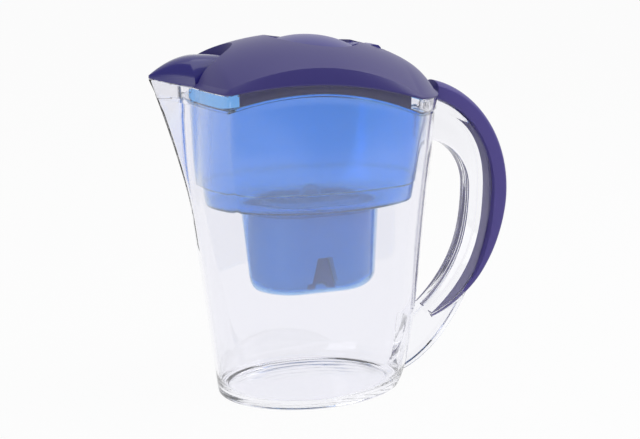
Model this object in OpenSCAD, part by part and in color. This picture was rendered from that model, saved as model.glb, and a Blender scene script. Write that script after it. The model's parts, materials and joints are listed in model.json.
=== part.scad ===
// Water filter pitcher with a flip lid: a clear jug with a beak spout and a
// moulded handle frame, a lift-out blue reservoir with a filter cartridge in
// its well, and a domed lid with a hinged fill flap and a hinged spout flap.
// The spout points along -X, the handle along +X, and the foot stands on z = 0.

/* [Jug] */
// Half length of the foot oval, towards the spout and the handle
foot_half_l = 71; // [66:0.5:76]
// Half width of the foot oval
foot_half_w = 56; // [52:0.5:60]
// Rounding of the foot's edge
foot_round = 2.5; // [1.5:0.1:4]
// Depth of the hollow under the foot
foot_recess = 1.2; // [0.5:0.1:2.5]
// Wall thickness of the clear jug
jug_wall = 2.4; // [2:0.1:3]
// Thickness of the jug's floor
jug_floor = 4; // [3:0.1:6]
// Lean of the front wall, in mm of reach for each mm of height
front_lean = 0.126; // [0.11:0.002:0.14]
// How far the front wall curls back again at the rim
front_curl = 7.3; // [5:0.1:9]
// Reach of the rear wall at the rim, behind the foot's centre
rim_rear_x = 99.5; // [97:0.5:101]
// Half width of the jug at the rim, in the middle of its side
rim_half_w = 63; // [60:0.5:66]

/* [Rim] */
// Height of the rim at the front corners
rim_front_z = 239.7; // [236:0.1:244]
// Height of the rim at the rear corners
rim_rear_z = 230.4; // [227:0.1:234]
// Distance of the front corners before the foot's centre
corner_front_x = 79; // [75:0.5:82]
// Distance of the rear corners behind the foot's centre
corner_rear_x = 67; // [62:0.5:70]
// Rise of the arched rim in the middle of each side
arch_rise = 9.5; // [6:0.1:12]
// Height of the collar below the rim, at the corners
collar_h = 10; // [8:0.1:12]
// Height of the collar in the middle of each side
collar_mid_h = 5.6; // [4.8:0.1:7]
// How far the collar stands proud of the wall below it
collar_proud = 1; // [0.5:0.1:1.5]
// Wall thickness of the collar
collar_wall = 1.6; // [1.2:0.1:1.8]

/* [Spout] */
// Reach of the spout's tip before the foot's centre
spout_reach = 121; // [117:0.5:125]
// Half width of the spout's mouth where it leaves the body
spout_half_w = 20; // [17:0.5:22]
// Height at which the spout's ridge begins
spout_start_z = 118; // [100:1:140]
// Extra rise of the rim towards the spout's tip
spout_rise = 4.5; // [2:0.1:7]

/* [Handle] */
// Reach of the grip behind the foot's centre
handle_reach = 169; // [166:0.5:173]
// Width of the clear handle frame
frame_w = 17; // [16:0.5:19]
// Side wall thickness of the clear handle frame
frame_wall = 2.2; // [1.8:0.1:2.8]
// Half width of the grip strap at its widest
grip_half_w = 13; // [12:0.5:15]
// How much narrower each side of the strap is at its top
grip_taper = 1.5; // [0:0.1:3]
// Half width of the strap's tail at its tip
tail_half_w = 3.5; // [2.5:0.1:5]
// Thickness of the grip strap at its crown
strap_t = 14; // [12:0.5:15]
// How far the strap's edges lie inside its crown
strap_crown = 5; // [3.5:0.1:6.5]
// Depth from the grip's crown to the core's inner edge, at its middle
core_depth = 22; // [20:0.5:24]
// Depth of the whole handle at its middle, from the grip to the finger gap
handle_t = 35; // [31:0.5:37]
// Gap between the grip's pieces and the frame round them
core_gap = 0.3; // [0.2:0.05:0.6]

/* [Reservoir] */
// Wall thickness of the reservoir
tank_wall = 1.8; // [1.5:0.1:2.4]
// Height of the reservoir's floor above the table, outside
tank_floor_z = 150; // [147:0.5:153]
// Thickness of the flange that hangs on the jug's ledge
flange_t = 2.6; // [2:0.1:3]
// Distance from the jug's side to the reservoir's side
tank_side_gap = 3; // [2.8:0.1:4.5]
// Distance from the jug's front to the reservoir's front at the flange
tank_front_gap = 7; // [5:0.1:9]
// Distance from the jug's front to the reservoir's front at its floor
floor_front_gap = 9; // [7:0.1:11]
// Distance from the jug's rear to the reservoir's rear
tank_rear_gap = 4.7; // [4.6:0.1:6]
// Height of the step in the reservoir's wall
tank_step_z = 164; // [160:0.5:170]
// Depth of the step in the reservoir's wall
tank_step = 1.6; // [1:0.1:2.5]
// Height of the cartridge well's floor above the table, outside
well_z = 82; // [80:0.5:86]
// Distance of the well's middle behind the foot's centre
well_x = 2.3; // [0:0.1:4]
// Half length of the cartridge well at its floor
well_half_l = 51; // [49:0.5:53]
// Half width of the cartridge well at its floor
well_half_w = 35; // [33:0.5:37]
// Rounding of the well's lower edge
well_round = 11; // [8:0.5:13]
// Widening of the well from its floor to its mouth
well_draft = 2.5; // [1.5:0.1:3.5]
// Running gap between parts that lift apart
lift_gap = 0.4; // [0.3:0.05:0.6]

/* [Outlet] */
// Radius of the hole in the well's floor
outlet_hole_r = 13; // [11:0.5:15]
// Height of the saddle over the outlet
saddle_h = 26; // [20:0.5:28]
// Half width of the saddle's foot
saddle_half_w = 11; // [9:0.5:12]
// Half width of the saddle's top
saddle_top_half_w = 4.5; // [3:0.1:6]
// Half length of the saddle, across the pitcher
saddle_half_l = 24; // [20:0.5:25]

/* [Cartridge] */
// Wall thickness of the cartridge's cup
cup_wall = 1.6; // [1.2:0.1:2.2]
// Gap from the well's floor to the cartridge
cup_foot_gap = 1.6; // [1.5:0.1:2]
// Height of the cartridge's cup
cup_h = 61; // [57:0.5:62]
// Gap from the well's wall to the cup at the well's foot
cup_side_gap = 1.6; // [1:0.1:2.5]
// Thickness of the cap's plate
cap_t = 2; // [1.6:0.1:3]
// Height of the cap's raised middle
cap_rise = 4; // [2:0.5:6]
// Height of the pull loop
pull_h = 9; // [7:0.5:12]
// Thickness of each felt pad
felt_t = 1.5; // [1:0.1:2.5]
// Share of the filter bed that is carbon
carbon_share = 0.62; // [0.4:0.01:0.8]

/* [Lid] */
// Height of the lid's crown above the table
crown_z = 276.2; // [272:0.1:280]
// Distance of the crown before the foot's centre
crown_x = 12; // [4:0.5:20]
// Radius of the ridge line along the lid
ridge_r = 195; // [180:1:215]
// Wall thickness of the lid
lid_wall = 2.4; // [2:0.1:3]
// Gap between the jug's rim and the lid
lid_gap = 0.3; // [0.3:0.05:0.6]
// How far the lid stands out beyond the jug's collar
lid_over = 0.8; // [0.4:0.1:1.2]
// Height of the lid's edge at its corners and ends
edge_h = 4; // [3:0.1:5]
// Extra height of the side panel in the middle of each side
panel_rise = 8; // [5:0.1:10]
// Wall thickness of the inner frame's skirts
skirt_t = 1.6; // [1.2:0.1:2]

/* [Fill flap] */
// Half length of the fill flap
flap_half_l = 32.5; // [28:0.5:34]
// Half width of the fill flap
flap_half_w = 28; // [24:0.5:30]
// Distance of the fill flap's middle behind the foot's centre
flap_x = 3.5; // [0:0.5:6]
// Height of the dish floor under the fill flap
dish_z = 264.6; // [263:0.1:266]
// Height of the fill flap's crown above the dish floor
flap_rise = 9.8; // [8:0.1:11]
// Tilt of the dish towards the handle
dish_tilt = 4; // [2:0.1:6]
// Width of the cove round the fill flap
dish_margin = 5; // [3:0.1:6]
// Distance of the hinge behind the foot's centre
hinge_x = 52; // [50:0.5:54]
// Height of the hinge above the table
hinge_z = 259.2; // [258.8:0.1:259.4]
// Width of the fill flap's tongue
tongue_w = 16; // [12:0.5:20]
// Radius of the hinge pins
pin_r = 1.5; // [1.2:0.1:1.8]
// Radial clearance of a pin in its bore
pin_gap = 0.05; // [0.02:0.01:0.1]

/* [Spout flap] */
// Distance of the spout flap's hinge before the foot's centre
beak_hinge_x = 66.5; // [66:0.1:68]
// Height of the spout flap's hinge above the table
beak_hinge_z = 257.5; // [256:0.1:259]
// Shell thickness of the spout flap
beak_t = 1.8; // [1.4:0.1:2.4]
// Height of the spout flap's ridge above the rim
beak_rise = 19; // [16:0.1:21]
// Distance of the hood's apex before the foot's centre
hood_x = 58.7; // [57:0.1:60]
// Half width of the hood's mouth at its widest
hood_half_w = 23.5; // [22:0.1:25]

/* [Hidden] */

// Overlap that makes two solids of one piece join, and cuts run clear
join = 0.6;
over = 1;
big = 400;

// The whole pitcher is shifted so that its bounding box is centred on X = 0
shift_x = -(handle_reach - spout_reach) / 2;

// Heights that are named once
rim_slope = (rim_front_z - rim_rear_z) / (corner_front_x + corner_rear_x);
side_mid_x = (corner_rear_x - corner_front_x) / 2;
side_half_l = (corner_rear_x + corner_front_x) / 2;
rim_nom_z = (rim_front_z + rim_rear_z) / 2;
warp_z = tank_floor_z;

// Radii of the plan's four bows
side_r = 668;
front_r = 130;
rear_r = 70;

// Directions of the outline's points: close together at the corners and spout
function spread(a, b, n) = [for (i = [0 : n - 1]) a + (b - a) * i / n];
half_turn = concat(spread(0, 34, 5), spread(34, 50, 4), spread(50, 136, 7),
    spread(136, 151, 5), spread(151, 165, 3), spread(165, 180, 6));
n_half = len(half_turn);
turn = concat(half_turn, [180],
    [for (i = [n_half - 1 : -1 : 1]) 360 - half_turn[i]]);
n_pts = len(turn);

// How far a disc reaches in direction a, seen from the plan's centre
function disc_reach(cx, cy, r, a) =
    let (d = cx * cos(a) + cy * sin(a)) d + sqrt(r * r - cx * cx - cy * cy + d * d);

// The least and the greatest of some reaches, with a small round between them
function round_least(list, p) =
    pow([for (r = list) pow(r, -p)] * [for (r = list) 1], -1 / p);
function round_most(list, p) =
    pow([for (r = list) pow(r, p)] * [for (r = list) 1], 1 / p);

// Body sizes at height z: front reach, rear reach, half width, corner share
corner_full_z = 190;
function above(z, start) = max(0, z - start);
function front_x(z) = foot_half_l + front_lean * z
    - front_curl * pow(above(z, spout_start_z) / (rim_nom_z - spout_start_z), 2);
function rear_x(z) = foot_half_l + (rim_rear_x - foot_half_l) * pow(max(0, z) / rim_nom_z, 0.4);
function half_w(z) = foot_half_w + (rim_half_w - foot_half_w) * pow(max(0, z) / rim_nom_z, 0.6);
function corner_share(z) = min(1, pow(max(0, z) / corner_full_z, 1.3));

// Reach of the plain body in direction a at height z
function oval_reach(a, f, b, w) =
    1 / sqrt(pow(cos(a) / (cos(a) < 0 ? f : b), 2) + pow(sin(a) / w, 2));
// A bowed end: a disc that runs on as a straight strip towards the other end
function end_reach(reach, r, toward, a) =
    let (c = reach - r, cc = toward * cos(a), strip = r / max(0.001, abs(sin(a))), d = c * cc)
    cc <= 0 || strip * cc <= c ? strip : d + sqrt(r * r - c * c + d * d);
function bows_reach(a, f, b, w) = round_least([
    disc_reach(side_mid_x, w - side_r, side_r, a),
    disc_reach(side_mid_x, side_r - w, side_r, a),
    end_reach(f, front_r, -1, a),
    end_reach(b, rear_r, 1, a)], 60);
function mixed_reach(a, f, b, w, k) = (1 - k) * oval_reach(a, f, b, w) + k * bows_reach(a, f, b, w);
function body_reach(a, z) = mixed_reach(a, front_x(z), rear_x(z), half_w(z), corner_share(z));

// Reach of the spout's beak, a rounded V that grows out of the front wall
function beak_tip_x(z) =
    let (up = above(z, spout_start_z) / (rim_nom_z - spout_start_z))
    front_x(z) + (spout_reach - front_x(rim_nom_z)) * up * up;
function beak_half_w(z) =
    let (up = above(z, spout_start_z) / (rim_nom_z - spout_start_z)) 6 + (spout_half_w - 6) * up;
function beak_reach(a, z) =
    let (tip = beak_tip_x(z) * 1.012, w = beak_half_w(z), run = max(0.6, tip - front_x(z) + 2),
        c = -cos(a), s = abs(sin(a)),
        near = (w * c + run * s), far = (w * c - run * s))
    c <= 0 || near <= 0 ? 1 : round_least([w * tip / near, w * tip / max(far, 0.05)], 48);
function jug_reach(a, z, grow) =
    let (body = body_reach(a, z) + grow)
    cos(a) > -0.9 || z <= spout_start_z ? body : round_most([body, beak_reach(a, z)], 90);

// Plan outlines as points, and a copy moved inwards by t
function body_plan(z, grow = 0) =
    [for (a = turn) (body_reach(a, z) + grow) * [cos(a), sin(a)]];
function jug_plan(z, grow = 0) =
    [for (a = turn) jug_reach(a, z, grow) * [cos(a), sin(a)]];
function inset(p, t) =
    [for (i = [0 : n_pts - 1])
        let (d = p[(i + 1) % n_pts] - p[(i + n_pts - 1) % n_pts]) p[i] - t * [d.y, -d.x] / norm(d)];

// The rim: a sloping line, arched along each side and raised at the spout
function side_u(x) = (x - side_mid_x) / side_half_l;
function side_arch(x) = max(0, 1 - pow(side_u(x), 2));
function rim_z(x) = rim_nom_z - rim_slope * (x - side_mid_x) + arch_rise * side_arch(x)
    + spout_rise * pow(above(-x, corner_front_x) / (spout_reach - corner_front_x), 1.5);
function collar_at(x) = collar_h - (collar_h - collar_mid_h) * side_arch(x);
function flange_top_z(x) = rim_z(x) - collar_at(x);
// Height of a wall point: level low down, following the rim higher up
ledge_z = rim_nom_z - collar_h;
function wall_z(x, z) = z + (flange_top_z(x) - ledge_z) * pow(above(z, warp_z) / (ledge_z - warp_z), 1.5);

// Rings of 3D points from plans
function level(p, z) = [for (q = p) [q.x, q.y, z]];
function rising(p, z) = [for (q = p) [q.x, q.y, wall_z(q.x, z)]];
function at_rim(p, dz) = [for (q = p) [q.x, q.y, rim_z(q.x) + dz]];
function at_flange(p, dz) = [for (q = p) [q.x, q.y, flange_top_z(q.x) + dz]];

// Skin over rings of points: closed on itself, or capped at both ends. A cap is
// a fan, or for a thin folded section a strip between its outer and inner half
function mean(p) = [for (k = [0 : 2]) [for (q = p) q[k]] * [for (q = p) 1] / len(p)];
function band_faces(j, k, n) = [for (i = [0 : n - 1])
    let (a = j * n + i, b = j * n + (i + 1) % n, c = k * n + (i + 1) % n, d = k * n + i)
    each [[a, d, c], [a, c, b]]];
function fan_cap(hub, first, n) = [for (i = [0 : n - 1]) [hub, first + i, first + (i + 1) % n]];
function fold_cap(first, n) = [for (i = [0 : n / 2 - 2])
    [first + i, first + i + 1, first + n - 2 - i, first + n - 1 - i]];
function turned(faces) = [for (f = faces) [for (k = [len(f) - 1 : -1 : 0]) f[k]]];
module skin(rings, closed = false, folded = false) {
    m = len(rings);
    n = len(rings[0]);
    last = (m - 1) * n;
    sides = [for (j = [0 : m - (closed ? 1 : 2)]) each band_faces(j, (j + 1) % m, n)];
    caps = closed ? [] : folded ? concat(fold_cap(0, n), turned(fold_cap(last, n)))
        : concat(fan_cap(m * n, 0, n), turned(fan_cap(m * n + 1, last, n)));
    hubs = closed || folded ? [] : [mean(rings[0]), mean(rings[m - 1])];
    polyhedron(points = concat([for (r = rings) each r], hubs), faces = concat(sides, caps), convexity = 8);
}

module placed() {
    translate([shift_x, 0, 0]) children();
}

// Puts a profile drawn in X and Z upright, w wide and centred on Y = 0
module upright(w) {
    rotate([90, 0, 0]) translate([0, 0, -w / 2]) linear_extrude(w) children();
}

// Jug: foot, leaning walls, spout and collar
wall_levels = ledge_z * [0.0355, 0.09, 0.17, 0.27, 0.39, 0.525, 0.622, 0.711, 0.791, 0.866, 0.933];
module jug_outside() {
    skin(concat(
        [level(inset(jug_plan(0), 7), foot_recess),
            level(inset(jug_plan(0), 5.5), 0),
            level(inset(jug_plan(0), foot_round), 0),
            level(inset(jug_plan(0), foot_round * 0.3), foot_round * 0.3),
            level(jug_plan(foot_round), foot_round)],
        [for (z = wall_levels) rising(jug_plan(z), z)],
        [at_flange(jug_plan(ledge_z), -0.6),
            at_flange(jug_plan(ledge_z, collar_proud), 0.4),
            at_rim(jug_plan(rim_nom_z, collar_proud), -0.5),
            at_rim(inset(jug_plan(rim_nom_z, collar_proud), 0.4), 0)]));
}
module jug_inside() {
    skin(concat(
        [level(inset(jug_plan(0), jug_wall + 8), jug_floor),
            level(inset(jug_plan(2), jug_wall + 2.5), jug_floor + 1.2),
            level(inset(jug_plan(5), jug_wall + 0.5), jug_floor + 4)],
        [for (i = [1 : len(wall_levels) - 1])
            rising(inset(jug_plan(wall_levels[i]), jug_wall), wall_levels[i])],
        [at_flange(inset(jug_plan(ledge_z), jug_wall), -flange_t),
            at_flange(inset(jug_plan(ledge_z, collar_proud), collar_wall), -flange_t + 0.1),
            at_rim(inset(jug_plan(rim_nom_z, collar_proud), collar_wall), over)]));
}

// Handle curves in X and Z, each from two cubic arcs
function cubic(p, t) = pow(1 - t, 3) * p[0] + 3 * pow(1 - t, 2) * t * p[1]
    + 3 * (1 - t) * t * t * p[2] + pow(t, 3) * p[3];
function curve(top, low, n) = concat([for (i = [0 : n - 1]) cubic(top, i / n)],
    [for (i = [0 : n]) cubic(low, i / n)]);
// A point of a handle curve: shares of the way from the rim out to the curve's
// furthest reach, and of the rear rim's height
function hold(reach, u, v) = [rim_rear_x + u * (reach - rim_rear_x), v * rim_rear_z];
// An end of a handle curve: a distance behind the rim, and the same share of height
function root(behind, v) = [rim_rear_x + behind, v * rim_rear_z];
frame_out_x = handle_reach - strap_t + 1;
core_in_x = handle_reach - core_depth;
loop_x = handle_reach - handle_t;
grip_top = [root(4.5, 1.0265), hold(handle_reach, 0.554, 0.9939),
    hold(handle_reach, 1, 0.8377), hold(handle_reach, 1, 0.6293)];
grip_low = [hold(handle_reach, 1, 0.6293), hold(handle_reach, 1, 0.4948),
    hold(handle_reach, 0.741, 0.2582), root(6.5, 0.1931)];
frame_top = [root(-1.5, 0.9679), hold(frame_out_x, 0.5398, 0.9418),
    hold(frame_out_x, 1, 0.7899), hold(frame_out_x, 1, 0.651)];
frame_low = [hold(frame_out_x, 1, 0.651), hold(frame_out_x, 1, 0.4557),
    hold(frame_out_x, 0.5398, 0.0955), root(-23.5, 0.013)];
core_top = [root(21.5, 0.8984), hold(core_in_x, 0.7895, 0.855),
    hold(core_in_x, 1, 0.7726), hold(core_in_x, 1, 0.651)];
core_low = [hold(core_in_x, 1, 0.651), hold(core_in_x, 1, 0.4861),
    hold(core_in_x, 0.8737, 0.3472), root(5, 0.2148)];
loop_top = [root(-3.5, 0.829), hold(loop_x, 0.6522, 0.816),
    hold(loop_x, 1, 0.7292), hold(loop_x, 1, 0.651)];
loop_low = [hold(loop_x, 1, 0.651), hold(loop_x, 1, 0.4774),
    hold(loop_x, 0.7681, 0.3385), root(-17.5, 0.1953)];
n_handle = 9;
n_grip = 2 * n_handle;
grip_line = curve(grip_top, grip_low, n_handle);
frame_line = curve(frame_top, frame_low, n_handle);
core_line = curve(core_top, core_low, n_handle);
loop_line = curve(loop_top, loop_low, n_handle);
function between(p, q, d) = p + d * (q - p) / norm(q - p);

// A rod across the pitcher with rounded ends, at a point of a handle curve
module rod(p, r, w) {
    translate([p.x, 0, p.y]) rotate([90, 0, 0]) cylinder(r = r, h = w - 2 * r, center = true, $fn = 12);
    for (s = [-1, 1]) translate([p.x, s * (w / 2 - r), p.y]) sphere(r = r, $fn = 8);
}
module handle_frame() {
    r = 2.5;
    for (i = [0 : 2 * n_handle - 1]) hull() for (j = [i, i + 1]) {
        rod(between(loop_line[j], frame_line[j], r), r, frame_w);
        rod(between(frame_line[j], loop_line[j], r), r, frame_w);
    }
}

// Grip strap: a crowned section swept along the outside of the handle
tail_start = 0.7;
thick_share = [[0, 0.96], [0.55, 1], [0.7, 0.73], [0.81, 0.45], [0.9, 0.36], [1, 0.26]];
function strap_half_w(t) = t < tail_start ? grip_half_w - grip_taper * pow(1 - t / tail_start, 2)
    : tail_half_w + (grip_half_w - tail_half_w) * pow(cos(90 * (t - tail_start) / (1 - tail_start)), 1.4);
function inward(i) =
    let (d = grip_line[min(i + 1, n_grip)] - grip_line[max(i - 1, 0)])
    i == 0 ? [0, -1] : [d.y, -d.x] / norm(d);
function strap_depth(i) = strap_t * lookup(i / n_grip, thick_share);
function strap_under(i, gap) = grip_line[i] + (strap_depth(i) + gap) * inward(i);
crown_fan = [-1, -0.94, -0.8, -0.58, -0.3, 0, 0.3, 0.58, 0.8, 0.94, 1];
function strap_ring(i, gap) =
    let (w = strap_half_w(i / n_grip), depth = strap_depth(i), n = inward(i),
        edge = min(strap_crown * pow(w / grip_half_w, 0.6), 0.6 * depth), soft = 0.16 * depth,
        side = concat([for (s = crown_fan) [s * (w + gap), edge * (1 - sqrt(1 - s * s)) - gap]],
            [[w + gap, depth - soft + gap], [0.93 * w + gap, depth + gap],
                [-0.93 * w - gap, depth + gap], [-w - gap, depth - soft + gap]]))
    [for (q = side) let (p = grip_line[i] + q.y * n) [p.x, q.x, p.y]];
module strap(gap) {
    skin([for (i = [n_grip : -1 : 0]) strap_ring(i, gap)]);
}
module handle_grip() {
    color([0.3, 0.27, 0.55]) placed() strap(0);
}

// Core of the grip, held in a channel in the frame's outer edge
core_from = 2;
core_outer = [for (i = [core_from : n_grip]) strap_under(i, core_gap)];
function back(list) = [for (i = [len(list) - 1 : -1 : 0]) list[i]];
module core_profile() {
    polygon(concat(core_line, back(core_outer)));
}
module handle_channel() {
    upright(frame_w - 2 * frame_wall) offset(delta = core_gap) core_profile();
}
module grip_core() {
    color([0.42, 0.4, 0.58]) placed() upright(frame_w - 2 * frame_wall - 2 * core_gap) core_profile();
}

module jug() {
    color([0.9, 0.92, 0.98, 0.35]) placed() difference() {
        union() {
            jug_outside();
            difference() {
                handle_frame();
                handle_channel();
                strap(core_gap);
            }
        }
        jug_inside();
    }
}

// Plan of the well and of what fits in it: two half discs and a straight middle
function well_reach(a, l, w) =
    abs(cos(a)) * w <= abs(sin(a)) * (l - w) ? w / abs(sin(a)) : disc_reach(sign(cos(a)) * (l - w), 0, w, a);
function well_plan(grow) =
    [for (a = turn) [well_x, 0] + well_reach(a, well_half_l + grow, well_half_w + grow) * [cos(a), sin(a)]];
function circle_plan(r) = [for (a = turn) [well_x, 0] + r * [cos(a), sin(a)]];
module in_well() {
    placed() translate([well_x, 0, 0]) children();
}
module oval(l, w) {
    for (s = [-1, 1]) translate([s * (l - w), 0]) circle(r = w, $fn = 64);
    square([2 * (l - w), 2 * w], center = true);
}

// Reservoir: flange, tapering walls, floor and the cartridge well in it
function tank_plan(z, extra = 0) =
    let (t = (ledge_z - z) / (ledge_z - tank_floor_z),
        f = front_x(z) - tank_front_gap - (floor_front_gap - tank_front_gap) * t,
        b = rear_x(z) - tank_rear_gap, w = half_w(z) - tank_side_gap, k = 1 - pow(t, 1.5))
    inset([for (a = turn) mixed_reach(a, f, b, w, k) * [cos(a), sin(a)]], extra);
well_mouth_z = tank_floor_z;
tank_mid_z = (tank_step_z + ledge_z) / 2;
function well_ring(s, z, t) =
    level(well_plan(well_draft * (z - well_z) / (well_mouth_z - well_z) - s - t), z);
module reservoir() {
    t = tank_wall;
    well_skirt = well_round * 0.3;
    outside = [
        level(circle_plan(outlet_hole_r), well_z),
        well_ring(well_round, well_z, 0),
        well_ring(well_skirt, well_z + well_skirt, 0),
        well_ring(0, well_z + well_round, 0),
        well_ring(0, well_mouth_z - 2, 0),
        level(well_plan(well_draft + 2), well_mouth_z),
        level(tank_plan(tank_floor_z, tank_step + 2), tank_floor_z),
        level(tank_plan(tank_floor_z, tank_step), tank_floor_z + 2),
        level(tank_plan(tank_step_z, tank_step), tank_step_z),
        level(tank_plan(tank_step_z), tank_step_z + 1),
        rising(tank_plan(tank_mid_z), tank_mid_z),
        at_flange(tank_plan(ledge_z), -flange_t + lift_gap / 2),
        at_flange(inset(body_plan(ledge_z, collar_proud), collar_wall + lift_gap), -flange_t + lift_gap),
        at_flange(inset(body_plan(ledge_z, collar_proud), collar_wall + lift_gap), 0)];
    inside = [
        at_flange(tank_plan(ledge_z, t), 0),
        rising(tank_plan(tank_mid_z, t), tank_mid_z),
        level(tank_plan(tank_step_z, t), tank_step_z + 1 + t / 2),
        level(tank_plan(tank_step_z, tank_step + t), tank_step_z + t / 2),
        level(tank_plan(tank_floor_z, tank_step + t), tank_floor_z + 2 + t),
        level(tank_plan(tank_floor_z, tank_step + t + 1.5), tank_floor_z + t),
        level(well_plan(well_draft + 2 - t * 0.3), well_mouth_z + t),
        well_ring(0, well_mouth_z - 2 + t * 0.3, t),
        well_ring(0, well_z + well_round, t),
        well_ring(well_skirt, well_z + well_skirt + t * 0.7, t * 0.7),
        well_ring(well_round, well_z + t, 0),
        level(circle_plan(outlet_hole_r), well_z + t)];
    color([0.35, 0.58, 0.95, 0.6]) placed() skin(concat(outside, inside), closed = true);
}

// Saddle over the outlet hole: an arched bridge on a slotted disc
saddle_top_z = well_z + tank_wall + saddle_h;
module saddle_profile(grow) {
    polygon([[-saddle_half_w - grow, 0], [saddle_half_w + grow, 0],
        [saddle_top_half_w + grow, saddle_h + grow], [-saddle_top_half_w - grow, saddle_h + grow]]);
}
module outlet_saddle() {
    plug_r = outlet_hole_r - 0.15;
    color([0.35, 0.33, 0.6]) in_well() translate([0, 0, well_z]) difference() {
        union() {
            translate([0, 0, -0.4]) cylinder(r = plug_r, h = tank_wall + 0.6, $fn = 64);
            translate([0, 0, tank_wall + 0.2]) cylinder(r = outlet_hole_r + 2, h = 1.2, $fn = 64);
            translate([0, 0, tank_wall + 0.2]) upright(2 * saddle_half_l) saddle_profile(0);
        }
        translate([0, 0, -over]) cylinder(r = 5, h = tank_wall + 6, $fn = 32);
        translate([0, 0, tank_wall + 1.4]) rotate([90, 0, 0])
            cylinder(r = 5, h = 4 * saddle_half_l, center = true, $fn = 32);
        for (s = [-1, 1]) translate([-2, s * (plug_r - 3) - 1, -over]) cube([4, 2, tank_wall + 4]);
    }
}

// Cartridge: an oval cup with a notch in its foot that fits over the saddle
cup_z = well_z + tank_wall + cup_foot_gap;
cup_half_l = well_half_l - tank_wall - cup_side_gap;
cup_half_w = well_half_w - tank_wall - cup_side_gap;
cup_top_z = cup_z + cup_h;
notch_gap = 1.2;
module cup_body(grow, z, h) {
    translate([0, 0, z]) linear_extrude(h) oval(cup_half_l + grow, cup_half_w + grow);
}
module notch_body(grow) {
    translate([0, 0, well_z + tank_wall + 0.2]) upright(4 * cup_half_w) union() {
        saddle_profile(notch_gap + grow);
        translate([-saddle_half_w - notch_gap - grow, -4])
            square([2 * (saddle_half_w + notch_gap + grow), 4 + join]);
    }
}
// The cup's foot is narrower, clear of the well's rounded edge
foot_in = 6.8;
foot_h = 6.4;
module cup_form(grow, floor) {
    cup_body(grow - foot_in, cup_z + floor, foot_h + join - floor / 2);
    cup_body(grow, cup_z + foot_h + floor / 2, cup_h - foot_h - floor / 2);
}
slot_pitch = 5;
slot_count = 5;
module floor_slots(z, h) {
    for (s = [-1, 1], i = [0 : slot_count - 1])
        translate([s * (saddle_half_w + 6 + slot_pitch * i) - 1, -12, z]) cube([2, 24, h]);
}
module cartridge_cup() {
    color([0.93, 0.94, 0.97, 0.8]) in_well() difference() {
        cup_form(0, 0);
        difference() {
            union() {
                cup_form(-cup_wall, cup_wall);
                cup_body(-cup_wall, cup_top_z - over, 2 * over);
            }
            notch_body(cup_wall);
        }
        notch_body(0);
        floor_slots(cup_z - over, cup_wall + 2 * over);
    }
}

// What fills the cup, from the bottom: mesh, resin, felt, carbon, felt
fill_gap = 0.15;
fill_z = cup_z + cup_wall + fill_gap;
mesh_t = 0.8;
bed_z = fill_z + mesh_t + fill_gap;
bed_top_z = cup_top_z - 1 - felt_t - fill_gap;
bed_h = bed_top_z - bed_z;
resin_top_z = bed_z + (1 - carbon_share) * bed_h;
module fill_layer(z, h, narrow = 0) {
    difference() {
        cup_body(-cup_wall - fill_gap - narrow, z, h);
        notch_body(cup_wall + fill_gap);
    }
}
module bottom_mesh() {
    color("white") in_well() fill_layer(fill_z, mesh_t, foot_in);
}
module resin_bed() {
    color([0.85, 0.75, 0.5]) in_well() {
        fill_layer(bed_z, resin_top_z - bed_z, foot_in);
        fill_layer(cup_z + foot_h + cup_wall, resin_top_z - cup_z - foot_h - cup_wall);
    }
}
module middle_felt() {
    color("white") in_well() fill_layer(resin_top_z + fill_gap, felt_t - fill_gap);
}
module carbon_bed() {
    color([0.12, 0.12, 0.13]) in_well()
        fill_layer(resin_top_z + felt_t + fill_gap, bed_top_z - resin_top_z - felt_t - fill_gap);
}
module top_felt() {
    color("white") in_well() fill_layer(bed_top_z + fill_gap, felt_t);
}

// Cap: a plate with a rim that seats in the well's mouth, and a slotted rise
cap_half_l = well_half_l + well_draft - tank_wall - 1.4;
cap_half_w = well_half_w + well_draft - tank_wall - 1.4;
rise_half_l = cup_half_l - 8;
rise_half_w = cup_half_w - 8;
cap_slots = 8;
module cartridge_cap() {
    color([0.93, 0.94, 0.97]) in_well() translate([0, 0, cup_top_z + fill_gap]) difference() {
        union() {
            linear_extrude(cap_t) oval(cap_half_l - 0.2, cap_half_w - 0.2);
            linear_extrude(cap_t + cap_rise) oval(rise_half_l, rise_half_w);
        }
        translate([0, 0, -over]) linear_extrude(cap_t + cap_rise - 1.6 + over)
            oval(rise_half_l - 1.6, rise_half_w - 1.6);
        for (s = [-1, 1], i = [0 : cap_slots / 2 - 1])
            translate([s * (15 + 6 * i) - 1, -9, 0]) cube([2, 18, cap_t + cap_rise + over]);
    }
}
// Seal: a ring round the cup, under the cap, that presses on the well's wall
seal_h = 3;
module cartridge_seal() {
    color([0.75, 0.78, 0.82]) in_well() translate([0, 0, cup_top_z - seal_h - 0.1]) difference() {
        linear_extrude(seal_h) oval(cap_half_l - 0.3, cap_half_w - 0.3);
        translate([0, 0, -over]) linear_extrude(seal_h + 2 * over) oval(cup_half_l + 0.1, cup_half_w + 0.1);
    }
}
// Pull loop: half a ring that stands on the cap
pull_r = 1.6;
module pull_loop() {
    color([0.93, 0.94, 0.97]) in_well() translate([0, 0, cup_top_z + cap_t + cap_rise + 2 * fill_gap])
        intersection() {
            rotate([90, 0, 0]) rotate_extrude($fn = 64)
                translate([pull_h - pull_r, 0]) circle(r = pull_r, $fn = 24);
            translate([-big / 2, -big / 2, 0]) cube(big);
        }
}

// Lid: the ridge line, the edge and the dome between them
function ridge_z(x) = crown_z - ridge_r + sqrt(ridge_r * ridge_r - pow(x + crown_x, 2));
function lid_edge_z(x) = rim_z(x) + lid_gap + edge_h + panel_rise * side_arch(x);
panel_lean = 3.2;
lid_centre_x = -8;
side_power = 2.2;
end_power = 20;
function lid_plan(d) = inset(body_plan(rim_nom_z, collar_proud + lid_over), d);
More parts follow.
